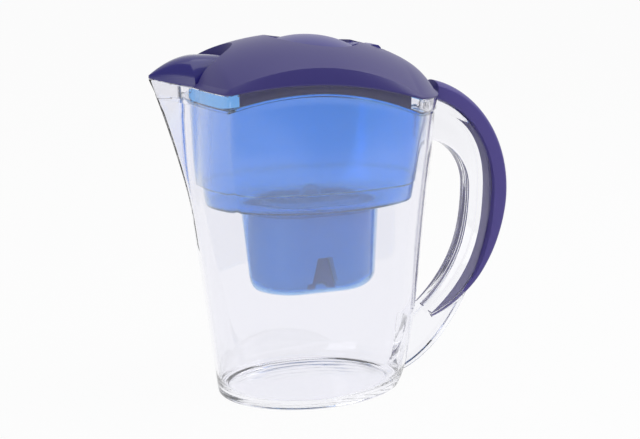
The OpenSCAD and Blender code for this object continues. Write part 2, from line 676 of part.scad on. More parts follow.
// Share of the fall from the ridge to the edge, at a point inside the plan
function fallen(x, y, plan) =
    let (half = [for (i = [0 : n_half]) [plan[i].x, plan[i].y]],
        across = min(1, abs(y) / max(0.01, lookup(x, half))),
        end_x = x > lid_centre_x ? plan[0].x : plan[n_half].x,
        along = min(1, (x - lid_centre_x) / (end_x - lid_centre_x)))
    1 - (1 - pow(across, side_power)) * (1 - pow(along, end_power));
function dome_ring(plan, f, drop) = [for (p = plan)
    let (x = lid_centre_x + f * (p.x - lid_centre_x), y = f * p.y, top = ridge_z(x))
    [x, y, top - (top - lid_edge_z(x)) * (f == 1 ? 1 : fallen(x, y, plan)) - drop]];
dome_steps = [1, 0.97, 0.93, 0.87, 0.78, 0.64, 0.44, 0.2];
module lid_outside() {
    edge = lid_plan(0);
    skin(concat(
        [at_rim(edge, lid_gap), at_rim(inset(edge, -0.3), lid_gap + 1)],
        [for (f = dome_steps) dome_ring(inset(edge, panel_lean), f, 0)]));
}
module lid_inside() {
    edge = lid_plan(lid_wall);
    skin(concat(
        [at_rim(edge, -2 * over), at_rim(edge, lid_gap + 0.6)],
        [for (f = dome_steps) if (f > 0.3) dome_ring(inset(edge, panel_lean), f, lid_wall)]));
}

// The dish for the fill flap, tilted with the crown
module on_crown() {
    translate([flap_x, 0, dish_z]) rotate([0, dish_tilt, 0]) children();
}
module lens_solid(grow, z, h) {
    r = (flap_half_l * flap_half_l + flap_half_w * flap_half_w) / (2 * flap_half_w);
    translate([0, 0, z]) linear_extrude(h) intersection() {
        translate([0, flap_half_w - r]) circle(r = r + grow, $fn = 72);
        translate([0, r - flap_half_w]) circle(r = r + grow, $fn = 72);
    }
}
dish_gap = 0.8;
cove_steps = 4;
module dish(grow) {
    depth = 14;
    for (i = [0 : cove_steps - 1]) hull() for (j = [i, i + 1]) {
        u = j / cove_steps;
        lens_solid(dish_gap + grow + dish_margin * (1 - sqrt(1 - u * u)) * 1.6, u * depth - grow, 0.01);
    }
}
hole_margin = 3.5;

// The hood: the edge of the lid round the spout flap
hood_bend = 0.037;
hood_steps = 8;
function hood_edge(gap) = [for (i = [-hood_steps : hood_steps])
    let (y = i * (hood_half_w - gap) / hood_steps) [-hood_x - gap - hood_bend * pow(y, 2), y]];
module hood_plan(gap) {
    far_x = -spout_reach - 20;
    root_x = -front_x(rim_nom_z) + 1;
    side = spout_half_w + 1.2 - gap;
    polygon(concat([[far_x, -side], [root_x, -side]], hood_edge(gap), [[root_x, side], [far_x, side]]));
}
hood_wall = 1.8;
curtain_z = rim_front_z + 9;
groove_w = tongue_w + 1;
groove_end_x = hinge_x + 9.2;
module lid() {
    color([0.24, 0.22, 0.46]) placed() difference() {
        union() {
            difference() {
                lid_outside();
                lid_inside();
            }
            intersection() {
                lid_outside();
                union() {
                    on_crown() dish(lid_wall);
                    translate([0, 0, curtain_z]) linear_extrude(60) difference() {
                        hood_plan(-hood_wall);
                        translate([-big - front_x(rim_nom_z) + 6, -big / 2]) square(big);
                    }
                }
            }
        }
        on_crown() {
            dish(0);
            lens_solid(-hole_margin, -10, 20);
        }
        translate([0, 0, rim_nom_z - 20]) linear_extrude(80) hood_plan(0);
        translate([flap_x + flap_half_l - 6, -groove_w / 2, hinge_z - 6])
            cube([groove_end_x - flap_x - flap_half_l + 6, groove_w, 40]);
    }
}

// Inner frame of the lid: arched side skirts, cross bars, rails and hinge lugs
bar_h = 3;
bar_w = 5;
lug_r = 2.6;
lug_t = 2.4;
skirt_out_r = side_r - (collar_wall - collar_proud) - 2 * lift_gap;
skirt_end = 8;
skirt_top = 0.4;
skirt_xs = [for (i = [0 : 12])
    -corner_front_x + skirt_end + (corner_front_x + corner_rear_x - 2 * skirt_end) * i / 12];
module skirts() {
    profile = concat([for (x = skirt_xs) [x, flange_top_z(x) + lift_gap]],
        back([for (x = skirt_xs) [x, rim_z(x) + skirt_top]]));
    for (s = [-1, 1]) intersection() {
        translate([side_mid_x, s * (rim_half_w - side_r), 0]) difference() {
            cylinder(r = skirt_out_r, h = big, $fn = 256);
            translate([0, 0, -over]) cylinder(r = skirt_out_r - skirt_t, h = big + 2 * over, $fn = 256);
        }
        translate([0, s * rim_half_w, 0]) upright(24) polygon(profile);
        collar_bore();
    }
}
// The room inside the jug's collar, which the frame stays clear of
module collar_bore() {
    linear_extrude(big) polygon(inset(body_plan(rim_nom_z, collar_proud), collar_wall + lift_gap));
}
module cross_bar(x, w, half_l) {
    translate([x - w / 2, -half_l, bar_z(x)]) cube([w, 2 * half_l, bar_h]);
}
module lug(x, z, y, foot_z, bore_r) {
    difference() {
        union() {
            translate([x, y, z]) rotate([90, 0, 0]) cylinder(r = lug_r, h = lug_t, center = true, $fn = 48);
            translate([x - lug_r, y - lug_t / 2, foot_z]) cube([2 * lug_r, lug_t, z - foot_z]);
        }
        translate([x, y, z]) rotate([90, 0, 0]) cylinder(r = bore_r, h = 3 * lug_t, center = true, $fn = 48);
    }
}
fill_bar_x = hinge_x;
beak_bar_x = -beak_hinge_x;
bar_half_l = rim_half_w - 4.6;
fill_lug_y = tongue_w / 2 + 0.7 + lug_t / 2;
beak_barrel_half = 8.5;
beak_lug_y = beak_barrel_half + 0.5 + lug_t / 2;
function bar_z(x) = rim_z(-corner_front_x) - rim_slope * (x + corner_front_x);
rail_y = flap_half_w + 9;
module lid_frame() {
    bore = pin_r + pin_gap;
    color([0.16, 0.14, 0.36]) placed() {
        skirts();
        cross_bar(fill_bar_x, bar_w + 4, bar_half_l);
        cross_bar(beak_bar_x, bar_w + 4, bar_half_l);
        for (s = [-1, 1]) {
            lug(hinge_x, hinge_z, s * fill_lug_y, bar_z(fill_bar_x) + 1, bore);
            lug(-beak_hinge_x, beak_hinge_z, s * beak_lug_y, bar_z(beak_bar_x) + 1, bore);
            hull() for (x = [fill_bar_x, beak_bar_x])
                translate([x - 1, s * rail_y - 1.5, bar_z(x)]) cube([2, 3, bar_h]);
        }
    }
}

// Fill flap: a hollow pillow, its tongue and the hinge barrel
pillow_edge = 2.2;
flap_wall = 2;
module pillow(grow, lift) {
    rise = flap_rise - pillow_edge;
    r = (flap_half_l * flap_half_l + rise * rise) / (2 * rise);
    intersection() {
        lens_solid(grow, 0.3 - lift, flap_rise + 1);
        translate([0, 0, 0.3 + flap_rise - r]) sphere(r = r + grow, $fn = 64);
    }
}
module fill_flap() {
    tongue_x = flap_x + flap_half_l - 7;
    bump_z = ridge_z(hinge_x + 2) + 1.6;
    color([0.29, 0.27, 0.58]) placed() difference() {
        union() {
            on_crown() pillow(0, 0);
            upright(tongue_w) polygon([[tongue_x, ridge_z(tongue_x) - 5.2],
                [tongue_x + 9, ridge_z(tongue_x + 9) - 1.6], [hinge_x - 4, ridge_z(hinge_x - 4) - 0.6],
                [hinge_x - 1, bump_z], [hinge_x + 3, bump_z - 0.6], [hinge_x + 5, bump_z - 2.6],
                [hinge_x + 5, hinge_z + 2], [hinge_x + 2.4, hinge_z],
                [hinge_x - 3, hinge_z + 1.2], [tongue_x + 6, hinge_z + 4.5], [tongue_x, hinge_z + 4.5]]);
            translate([hinge_x, 0, hinge_z]) rotate([90, 0, 0])
                cylinder(r = pin_r + 1.9, h = tongue_w, center = true, $fn = 48);
        }
        on_crown() pillow(-flap_wall, over);
        translate([hinge_x, 0, hinge_z]) rotate([90, 0, 0])
            cylinder(r = pin_r + pin_gap, h = 2 * tongue_w, center = true, $fn = 48);
    }
}
module pin(x, z, half_l) {
    translate([x, 0, z]) rotate([90, 0, 0]) cylinder(r = pin_r, h = 2 * half_l, center = true, $fn = 48);
}
module fill_flap_pin() {
    color("silver") placed() pin(hinge_x, hinge_z, fill_lug_y + lug_t / 2);
}
module spout_flap_pin() {
    color("silver") placed() pin(-beak_hinge_x, beak_hinge_z, beak_lug_y + lug_t / 2);
}

// Spout flap: a thin beak, high in the middle, on a hinge barrel at its rear
beak_rear_x = -beak_hinge_x + 2.6;
beak_root_x = -front_x(rim_nom_z) + 2;
beak_shares = [0.007, 0.045, 0.09, 0.19, 0.315, 0.44, 0.58, 0.72, 0.84, 1];
beak_xs = [for (u = beak_shares) -spout_reach + u * (spout_reach + beak_rear_x)];
beak_slot = 0.5;
lug_slot = lug_r + 0.6;
slot_deep = 12;
beak_crest = 34;
function beak_w(x) = x < beak_root_x
    ? 0.9 + (spout_half_w - 0.4) * (x + spout_reach) / (beak_root_x + spout_reach)
    : beak_barrel_half + (spout_half_w - beak_barrel_half)
        * sqrt(max(0, (beak_rear_x - x) / (beak_rear_x - beak_root_x)));
function beak_low_z(x) = rim_z(min(x, beak_root_x)) + beak_slot
    + (beak_hinge_z - 2 - rim_z(beak_root_x)) * pow(above(x, beak_root_x) / (beak_rear_x - beak_root_x), 1.2);
function beak_top_z(x) =
    let (u = (x + spout_reach) / beak_crest, tip_z = rim_z(-spout_reach) + 2.4, rise = beak_rise - 5.1)
    u < 1 ? tip_z + rise * sqrt(1 - pow(1 - u, 2)) : tip_z + rise - 3.2 * pow(u - 1, 2);
beak_fan = [for (i = [-4 : 4]) i / 4];
function beak_arc(x, t) =
    let (w = max(0.3, beak_w(x) - t), low = beak_low_z(x), high = beak_top_z(x) - t)
    [for (u = beak_fan) [x, u * w, low + (high - low) * pow(1 - pow(abs(u), 2.2), 0.6)]];
module spout_flap() {
    color([0.2, 0.17, 0.5]) placed() difference() {
        union() {
            skin([for (x = back(beak_xs)) concat(beak_arc(x, 0), back(beak_arc(x, beak_t)))],
                folded = true);
            translate([-beak_hinge_x, 0, beak_hinge_z]) rotate([90, 0, 0])
                cylinder(r = pin_r + 1.8, h = 2 * beak_barrel_half, center = true, $fn = 48);
        }
        translate([-beak_hinge_x, 0, beak_hinge_z]) rotate([90, 0, 0])
            cylinder(r = pin_r + pin_gap, h = 3 * beak_barrel_half, center = true, $fn = 48);
        for (s = [-1, 1])
            translate([-beak_hinge_x - lug_slot, s * beak_lug_y - lug_t / 2 - 0.5, beak_hinge_z - slot_deep])
                cube([2 * lug_slot, lug_t + 1, slot_deep + lug_slot]);
    }
}

jug();
handle_grip();
grip_core();
reservoir();
outlet_saddle();
cartridge_cup();
bottom_mesh();
resin_bed();
middle_felt();
carbon_bed();
top_felt();
cartridge_cap();
cartridge_seal();
pull_loop();
lid();
lid_frame();
fill_flap();
fill_flap_pin();
spout_flap();
spout_flap_pin();
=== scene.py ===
"""Water filter pitcher with a flip lid: fine shapes, finishes, lamps and camera.

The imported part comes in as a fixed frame. Its swept and domed pieces are drawn
again here with finer faces and rounder edges, from the same sizes, and every
node gets a finish. Lengths are millimetres, measured from the middle of the
foot, and become metres in the part's own frame where vertices are written.
"""
import json
import logging
import math
from dataclasses import dataclass, field
from enum import Enum
from typing import Any, Callable, Sequence

import bmesh
import bpy
import numpy as np
from mathutils import Matrix, Vector


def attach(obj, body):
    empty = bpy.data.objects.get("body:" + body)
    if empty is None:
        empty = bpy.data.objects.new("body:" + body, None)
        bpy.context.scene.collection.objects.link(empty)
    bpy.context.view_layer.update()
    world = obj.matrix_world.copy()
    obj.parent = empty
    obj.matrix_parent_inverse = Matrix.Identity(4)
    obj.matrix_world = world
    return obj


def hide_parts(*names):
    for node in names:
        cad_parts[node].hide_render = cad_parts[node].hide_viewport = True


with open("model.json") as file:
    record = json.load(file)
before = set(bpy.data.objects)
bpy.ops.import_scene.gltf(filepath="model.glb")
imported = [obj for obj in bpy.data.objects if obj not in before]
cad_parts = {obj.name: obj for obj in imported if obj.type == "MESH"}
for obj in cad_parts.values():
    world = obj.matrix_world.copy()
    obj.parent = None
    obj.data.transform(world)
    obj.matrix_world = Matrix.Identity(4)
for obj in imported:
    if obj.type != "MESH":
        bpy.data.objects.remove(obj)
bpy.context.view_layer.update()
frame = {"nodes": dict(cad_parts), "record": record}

log = logging.getLogger("pitcher")

MM = 0.001
SHIFT_X = -24.0
RING = 264
WELD = 1e-6
SHARP = math.radians(32)

Point = tuple[float, float, float]
Row = list[Point]


def place(point: Sequence[float]) -> Vector:
    """A point in millimetres from the foot's middle, in metres in the part's frame."""
    return Vector(((point[0] + SHIFT_X) * MM, point[1] * MM, point[2] * MM))


def linear(code: str) -> tuple[float, float, float, float]:
    """Turns an sRGB hex colour into linear light, with full alpha.

    Args:
        code: six hex digits.

    Returns:
        Red, green, blue and alpha.
    """
    parts = [int(code[i:i + 2], 16) / 255 for i in (0, 2, 4)]
    r, g, b = (p / 12.92 if p <= 0.04045 else ((p + 0.055) / 1.055) ** 2.4 for p in parts)
    return (r, g, b, 1.0)


class Join(Enum):
    """How one solid is combined with another."""

    ADD = "UNION"
    CUT = "DIFFERENCE"
    KEEP = "INTERSECT"


# Shapes: sheets woven from rows, plain solids, and how solids are combined


class Sheet:
    """A surface woven from rows of points and welded wherever points meet."""

    def __init__(self, rows: Sequence[Row]) -> None:
        """Weaves the rows.

        Args:
            rows: rings with the same number of points. A ring that shrinks to one
                point closes an end, and a last ring equal to the first closes a tube.
        """
        width, last = len(rows[0]), len(rows) - 1
        self.mesh = bmesh.new()
        self.layer = self.mesh.verts.layers.int.new("row")
        bmesh.ops.create_grid(self.mesh, x_segments=width, y_segments=last, size=1.0)
        for vert in self.mesh.verts:
            column = round((vert.co.x + 1) / 2 * width) % width
            row = round((vert.co.y + 1) / 2 * last)
            vert[self.layer] = row
            vert.co = place(rows[row][column])
        bmesh.ops.remove_doubles(self.mesh, verts=self.mesh.verts[:], dist=WELD)
        bmesh.ops.recalc_face_normals(self.mesh, faces=self.mesh.faces[:])

    def soften(self, row: int, width: float, segments: int = 3) -> "Sheet":
        """Rounds the edge loop that one row makes, by a width in millimetres.

        Args:
            row: which row of points makes the loop.
            width: width of the rounding.
            segments: number of faces across it.

        Returns:
            The sheet itself.
        """
        edges = [e for e in self.mesh.edges if all(v[self.layer] == row for v in e.verts)]
        bmesh.ops.bevel(self.mesh, geom=edges, offset=width * MM, offset_type="OFFSET",
                        segments=segments, profile=0.5, affect="EDGES", material=-1,
                        clamp_overlap=True)
        return self

    def finish(self, name: str) -> bpy.types.Object:
        """Makes the object, which lies at the origin, unturned and unscaled."""
        return to_object(self.mesh, name)


def closed(rows: Sequence[Row]) -> Sheet:
    """A sheet whose first and last rings are closed at their middles."""
    first, last = ([tuple(np.mean(rows[k], axis=0))] * len(rows[0]) for k in (0, -1))
    return Sheet([first, *rows, last])


def to_object(mesh: bmesh.types.BMesh, name: str) -> bpy.types.Object:
    """Writes a bmesh to a new object in the scene.

    Args:
        mesh: the bmesh, which is used up.
        name: name of the object.

    Returns:
        The new object.
    """
    data = bpy.data.meshes.new(name)
    mesh.to_mesh(data)
    mesh.free()
    made = bpy.data.objects.new(name, data)
    bpy.context.scene.collection.objects.link(made)
    return made


def smooth(piece: bpy.types.Object) -> bpy.types.Object:
    """Shades a piece smoothly, but keeps its true edges."""
    piece.data.shade_smooth()
    piece.data.set_sharp_from_angle(angle=SHARP)
    return piece


def combine(base: bpy.types.Object, tool: bpy.types.Object, how: Join,
            keep_tool: bool = False) -> bpy.types.Object:
    """Adds, cuts or keeps what two closed solids share.

    Args:
        base: the solid that changes.
        tool: the other solid, which is used up.
        how: the kind of combination.
        keep_tool: leaves the other solid for another use.

    Returns:
        The changed solid.
    """
    step = base.modifiers.new(how.name, "BOOLEAN")
    step.operation, step.solver, step.object = how.value, "MANIFOLD", tool
    bpy.context.view_layer.update()
    old = base.data
    base.data = bpy.data.meshes.new_from_object(
        base.evaluated_get(bpy.context.evaluated_depsgraph_get()))
    base.data.name = base.name
    base.modifiers.clear()
    bpy.data.meshes.remove(old)
    if not keep_tool:
        bpy.data.meshes.remove(tool.data)
    return base


def box(name: str, low: Point, high: Point) -> bpy.types.Object:
    """A plain block between two corners.

    Args:
        name: name of the object.
        low: the corner with the least X, Y and Z.
        high: the corner with the most.

    Returns:
        The block.
    """
    mesh = bmesh.new()
    bmesh.ops.create_cube(mesh, size=1.0)
    a, b = place(low), place(high)
    bmesh.ops.scale(mesh, vec=b - a, verts=mesh.verts)
    bmesh.ops.translate(mesh, vec=(a + b) / 2, verts=mesh.verts)
    return to_object(mesh, name)


def rod(name: str, x: float, z: float, radius: float, length: float) -> bpy.types.Object:
    """A round bar that lies across the pitcher, centred on its middle plane.

    Args:
        name: name of the object.
        x: place of its axis along the pitcher.
        z: height of its axis.
        radius: half its thickness.
        length: its length across.

    Returns:
        The bar.
    """
    mesh = bmesh.new()
    turned = Matrix.Translation(place((x, 0, z))) @ Matrix.Rotation(math.pi / 2, 4, "X")
    bmesh.ops.create_cone(mesh, cap_ends=True, segments=64, radius1=radius * MM,
                          radius2=radius * MM, depth=length * MM, matrix=turned)
    return to_object(mesh, name)


def prism(name: str, plan: Sequence[tuple[float, float]], low: float,
          high: float) -> bpy.types.Object:
    """An upright block over a plan, between two heights.

    Args:
        name: name of the object.
        plan: the outline, seen from above.
        low: height of its foot.
        high: height of its top.

    Returns:
        The block.
    """
    mid = tuple(sum(p[k] for p in plan) / len(plan) for k in (0, 1))
    rows = [[(*mid, low)] * len(plan), [(x, y, low) for x, y in plan],
            [(x, y, high) for x, y in plan], [(*mid, high)] * len(plan)]
    return Sheet(rows).finish(name)


def spread(start: float, end: float, count: int) -> list[float]:
    """Evenly spaced numbers, both ends included."""
    return [start + (end - start) * i / count for i in range(count + 1)]


# Form: the outline that the jug, the reservoir and the lid share


def disc_reach(cx: float, cy: float, r: float, a: float) -> float:
    """How far a disc reaches in direction a, seen from the plan's centre."""
    d = cx * math.cos(a) + cy * math.sin(a)
    return d + math.sqrt(r * r - cx * cx - cy * cy + d * d)


def end_reach(reach: float, r: float, toward: int, a: float) -> float:
    """Reach of a bowed end that runs on as a straight strip the other way.

    Args:
        reach: how far the end lies from the centre.
        r: radius of the bow.
        toward: 1 for the rear end, -1 for the front end.
        a: direction.

    Returns:
        Distance from the centre.
    """
    c, cc = reach - r, toward * math.cos(a)
    strip = r / max(0.001, abs(math.sin(a)))
    if cc <= 0 or strip * cc <= c:
        return strip
    return c * cc + math.sqrt(r * r - c * c + (c * cc) ** 2)


def round_least(reaches: Sequence[float], power: float) -> float:
    """The least of some reaches, or with a negative power the most, rounded between them."""
    return sum(r ** -power for r in reaches) ** (-1 / power)


def above(z: float, start: float) -> float:
    """Height above a start, or nothing below it."""
    return max(0.0, z - start)


@dataclass(frozen=True)
class Form:
    """The pitcher's outline: sizes of its plan and rim, and what follows from them."""

    foot_half_l: float = 71.0
    foot_half_w: float = 56.0
    front_lean: float = 0.126
    front_curl: float = 7.3
    rim_rear_x: float = 99.5
    rim_half_w: float = 63.0
    rim_front_z: float = 239.7
    rim_rear_z: float = 230.4
    corner_front_x: float = 79.0
    corner_rear_x: float = 67.0
    arch_rise: float = 9.5
    collar_h: float = 10.0
    collar_mid_h: float = 5.6
    spout_reach: float = 121.0
    spout_half_w: float = 20.0
    spout_start_z: float = 118.0
    spout_rise: float = 4.5
    warp_z: float = 150.0
    side_r: float = 668.0
    front_r: float = 130.0
    rear_r: float = 70.0
    rear_power: float = 0.4
    side_power: float = 0.6
    bowed_z: float = 190.0
    bow_power: float = 60.0
    beak_power: float = 48.0
    blend_power: float = 90.0
    beak_root_w: float = 6.0
    beak_stretch: float = 1.012

    @property
    def rim_nom_z(self) -> float:
        """Height of the rim halfway along its side, without the arch."""
        return (self.rim_front_z + self.rim_rear_z) / 2

    @property
    def ledge_z(self) -> float:
        """Nominal height of the ledge that the reservoir's flange hangs on."""
        return self.rim_nom_z - self.collar_h

    @property
    def side_mid_x(self) -> float:
        """Middle of the side between its two corners."""
        return (self.corner_rear_x - self.corner_front_x) / 2

    def arch(self, x: float) -> float:
        """Share of the side's arch at x: one in the middle, none at the corners."""
        half = (self.corner_rear_x + self.corner_front_x) / 2
        return max(0.0, 1 - ((x - self.side_mid_x) / half) ** 2)

    def rim_z(self, x: float) -> float:
        """Height of the rim at x.

        Args:
            x: place along the pitcher.

        Returns:
            Height with the slope, the arch and the lip.
        """
        slope = (self.rim_front_z - self.rim_rear_z) / (self.corner_front_x + self.corner_rear_x)
        lip = above(-x, self.corner_front_x) / (self.spout_reach - self.corner_front_x)
        return (self.rim_nom_z - slope * (x - self.side_mid_x) + self.arch_rise * self.arch(x)
                + self.spout_rise * lip ** 1.5)

    def flange_z(self, x: float) -> float:
        """Height of the collar's foot at x, where the flange lies."""
        return self.rim_z(x) - self.collar_h + (self.collar_h - self.collar_mid_h) * self.arch(x)

    def wall_z(self, x: float, z: float) -> float:
        """Height of a wall point: level low down, following the rim higher up."""
        share = above(z, self.warp_z) / (self.ledge_z - self.warp_z)
        return z + (self.flange_z(x) - self.ledge_z) * share ** 1.5

    def front_x(self, z: float) -> float:
        """Reach of the front wall at height z."""
        curl = above(z, self.spout_start_z) / (self.rim_nom_z - self.spout_start_z)
        return self.foot_half_l + self.front_lean * z - self.front_curl * curl ** 2

    def eased(self, low: float, high: float, z: float, power: float) -> float:
        """A size that grows from the foot to the rim, fastest low down."""
        return low + (high - low) * (max(0, z) / self.rim_nom_z) ** power

    def rear_x(self, z: float) -> float:
        """Reach of the rear wall at height z."""
        return self.eased(self.foot_half_l, self.rim_rear_x, z, self.rear_power)

    def half_w(self, z: float) -> float:
        """Half width at height z."""
        return self.eased(self.foot_half_w, self.rim_half_w, z, self.side_power)

    def mixed_reach(self, a: float, f: float, b: float, w: float, k: float) -> float:
        """Reach of a plan between an oval (k = 0) and four bows (k = 1).

        Args:
            a: direction.
            f: reach of the front end.
            b: reach of the rear end.
            w: half width.
            k: share of the bows.

        Returns:
            Distance from the centre.
        """
        along = math.cos(a) / (f if math.cos(a) < 0 else b)
        oval = 1 / math.hypot(along, math.sin(a) / w)
        if k == 0:
            return oval
        bows = round_least([
            disc_reach(self.side_mid_x, w - self.side_r, self.side_r, a),
            disc_reach(self.side_mid_x, self.side_r - w, self.side_r, a),
            end_reach(f, self.front_r, -1, a), end_reach(b, self.rear_r, 1, a)],
            self.bow_power)
        return (1 - k) * oval + k * bows

    def body_reach(self, a: float, z: float) -> float:
        """Reach of the plain body, without the spout."""
        k = min(1.0, (max(0.0, z) / self.bowed_z) ** 1.3)
        return self.mixed_reach(a, self.front_x(z), self.rear_x(z), self.half_w(z), k)

    def beak_reach(self, a: float, z: float) -> float:
        """Reach of the spout, a rounded V that grows out of the front wall.

        Args:
            a: direction.
            z: height.

        Returns:
            Distance from the centre, or 1 where the spout is not.
        """
        up = above(z, self.spout_start_z) / (self.rim_nom_z - self.spout_start_z)
        front = self.front_x(z)
        grown = (self.spout_reach - self.front_x(self.rim_nom_z)) * up * up
        tip = (front + grown) * self.beak_stretch
        w = self.beak_root_w + (self.spout_half_w - self.beak_root_w) * up
        run = max(0.6, tip - front + 2)
        c, s = -math.cos(a), abs(math.sin(a))
        near, far = w * c + run * s, w * c - run * s
        if c <= 0 or near <= 0:
            return 1.0
        return round_least([w * tip / near, w * tip / max(far, 0.05)], self.beak_power)

    def jug_reach(self, a: float, z: float, grow: float) -> float:
        """Reach of the jug, with its spout.

        Args:
            a: direction.
            z: height.
            grow: how far the body is moved outwards.

        Returns:
            Distance from the centre.
        """
        body = self.body_reach(a, z) + grow
        if math.cos(a) > -0.9 or z <= self.spout_start_z:
            return body
        return round_least((body, self.beak_reach(a, z)), -self.blend_power)


FORM = Form()


def turning_points(count: int) -> list[float]:
    """Directions of a ring's points, close together at the corners and the spout.

    Args:
        count: number of points.

    Returns:
        Angles from the rear, once round.
    """
    fine = 1440
    angles = spread(0, 2 * math.pi, fine)
    rim = [Vector((math.cos(a), math.sin(a))) * FORM.jug_reach(a, FORM.rim_nom_z, 0)
           for a in angles]
    share = [0.0]
    for i in range(fine):
        step, before = rim[i + 1] - rim[i], rim[i] - rim[i - 1 if i else fine - 1]
        share.append(share[-1] + step.length + 14 * before.angle(step))
    return list(np.interp([share[-1] * i / count for i in range(count)], share, angles))


TURN = turning_points(RING)
Plan = list[tuple[float, float]]


def plan_of(reach: Callable[[float], float]) -> Plan:
    """The plan outline that a reach in every direction gives."""
    return [(reach(a) * math.cos(a), reach(a) * math.sin(a)) for a in TURN]


def inset(plan: Plan, depth: float) -> Plan:
    """A plan moved inwards, each point along its own ray.

    Args:
        plan: the outline.
        depth: distance, square to the edge.

    Returns:
        The smaller outline.
    """
    moved = []
    for i, (x, y) in enumerate(plan):
        (ax, ay), (bx, by) = plan[i - 1], plan[(i + 1) % len(plan)]
        run = math.hypot(bx - ax, by - ay)
        support = (x * (by - ay) - y * (bx - ax)) / run
        share = 1 - depth / support
        moved.append((x * share, y * share))
    return moved


def level(plan: Plan, z: float) -> Row:
    """A plan at one height."""
    return [(x, y, z) for x, y in plan]


def following(plan: Plan, height: Callable[[float], float], rise: float = 0.0) -> Row:
    """A plan whose height follows its x."""
    return [(x, y, height(x) + rise) for x, y in plan]


def wall_rows(plan_at: Callable[[float], Plan], heights: Sequence[float]) -> list[Row]:
    """Rings of a wall at nominal heights, which follow the rim higher up."""
    return [following(plan_at(z), lambda x, z=z: FORM.wall_z(x, z)) for z in heights]


def pole(z: float, x: float = 0.0) -> Row:
    """A ring shrunk to one point on the middle plane."""
    return [(x, 0.0, z)] * RING


# Sub-assemblies: the handle, the jug, the reservoir and the lid


def cubic(p: Sequence[Sequence[float]], t: float) -> Vector:
    """A point of a cubic arc in X and Z."""
    w = ((1 - t) ** 3, 3 * (1 - t) ** 2 * t, 3 * (1 - t) * t * t, t ** 3)
    return Vector((sum(k * q[0] for k, q in zip(w, p)), sum(k * q[1] for k, q in zip(w, p))))


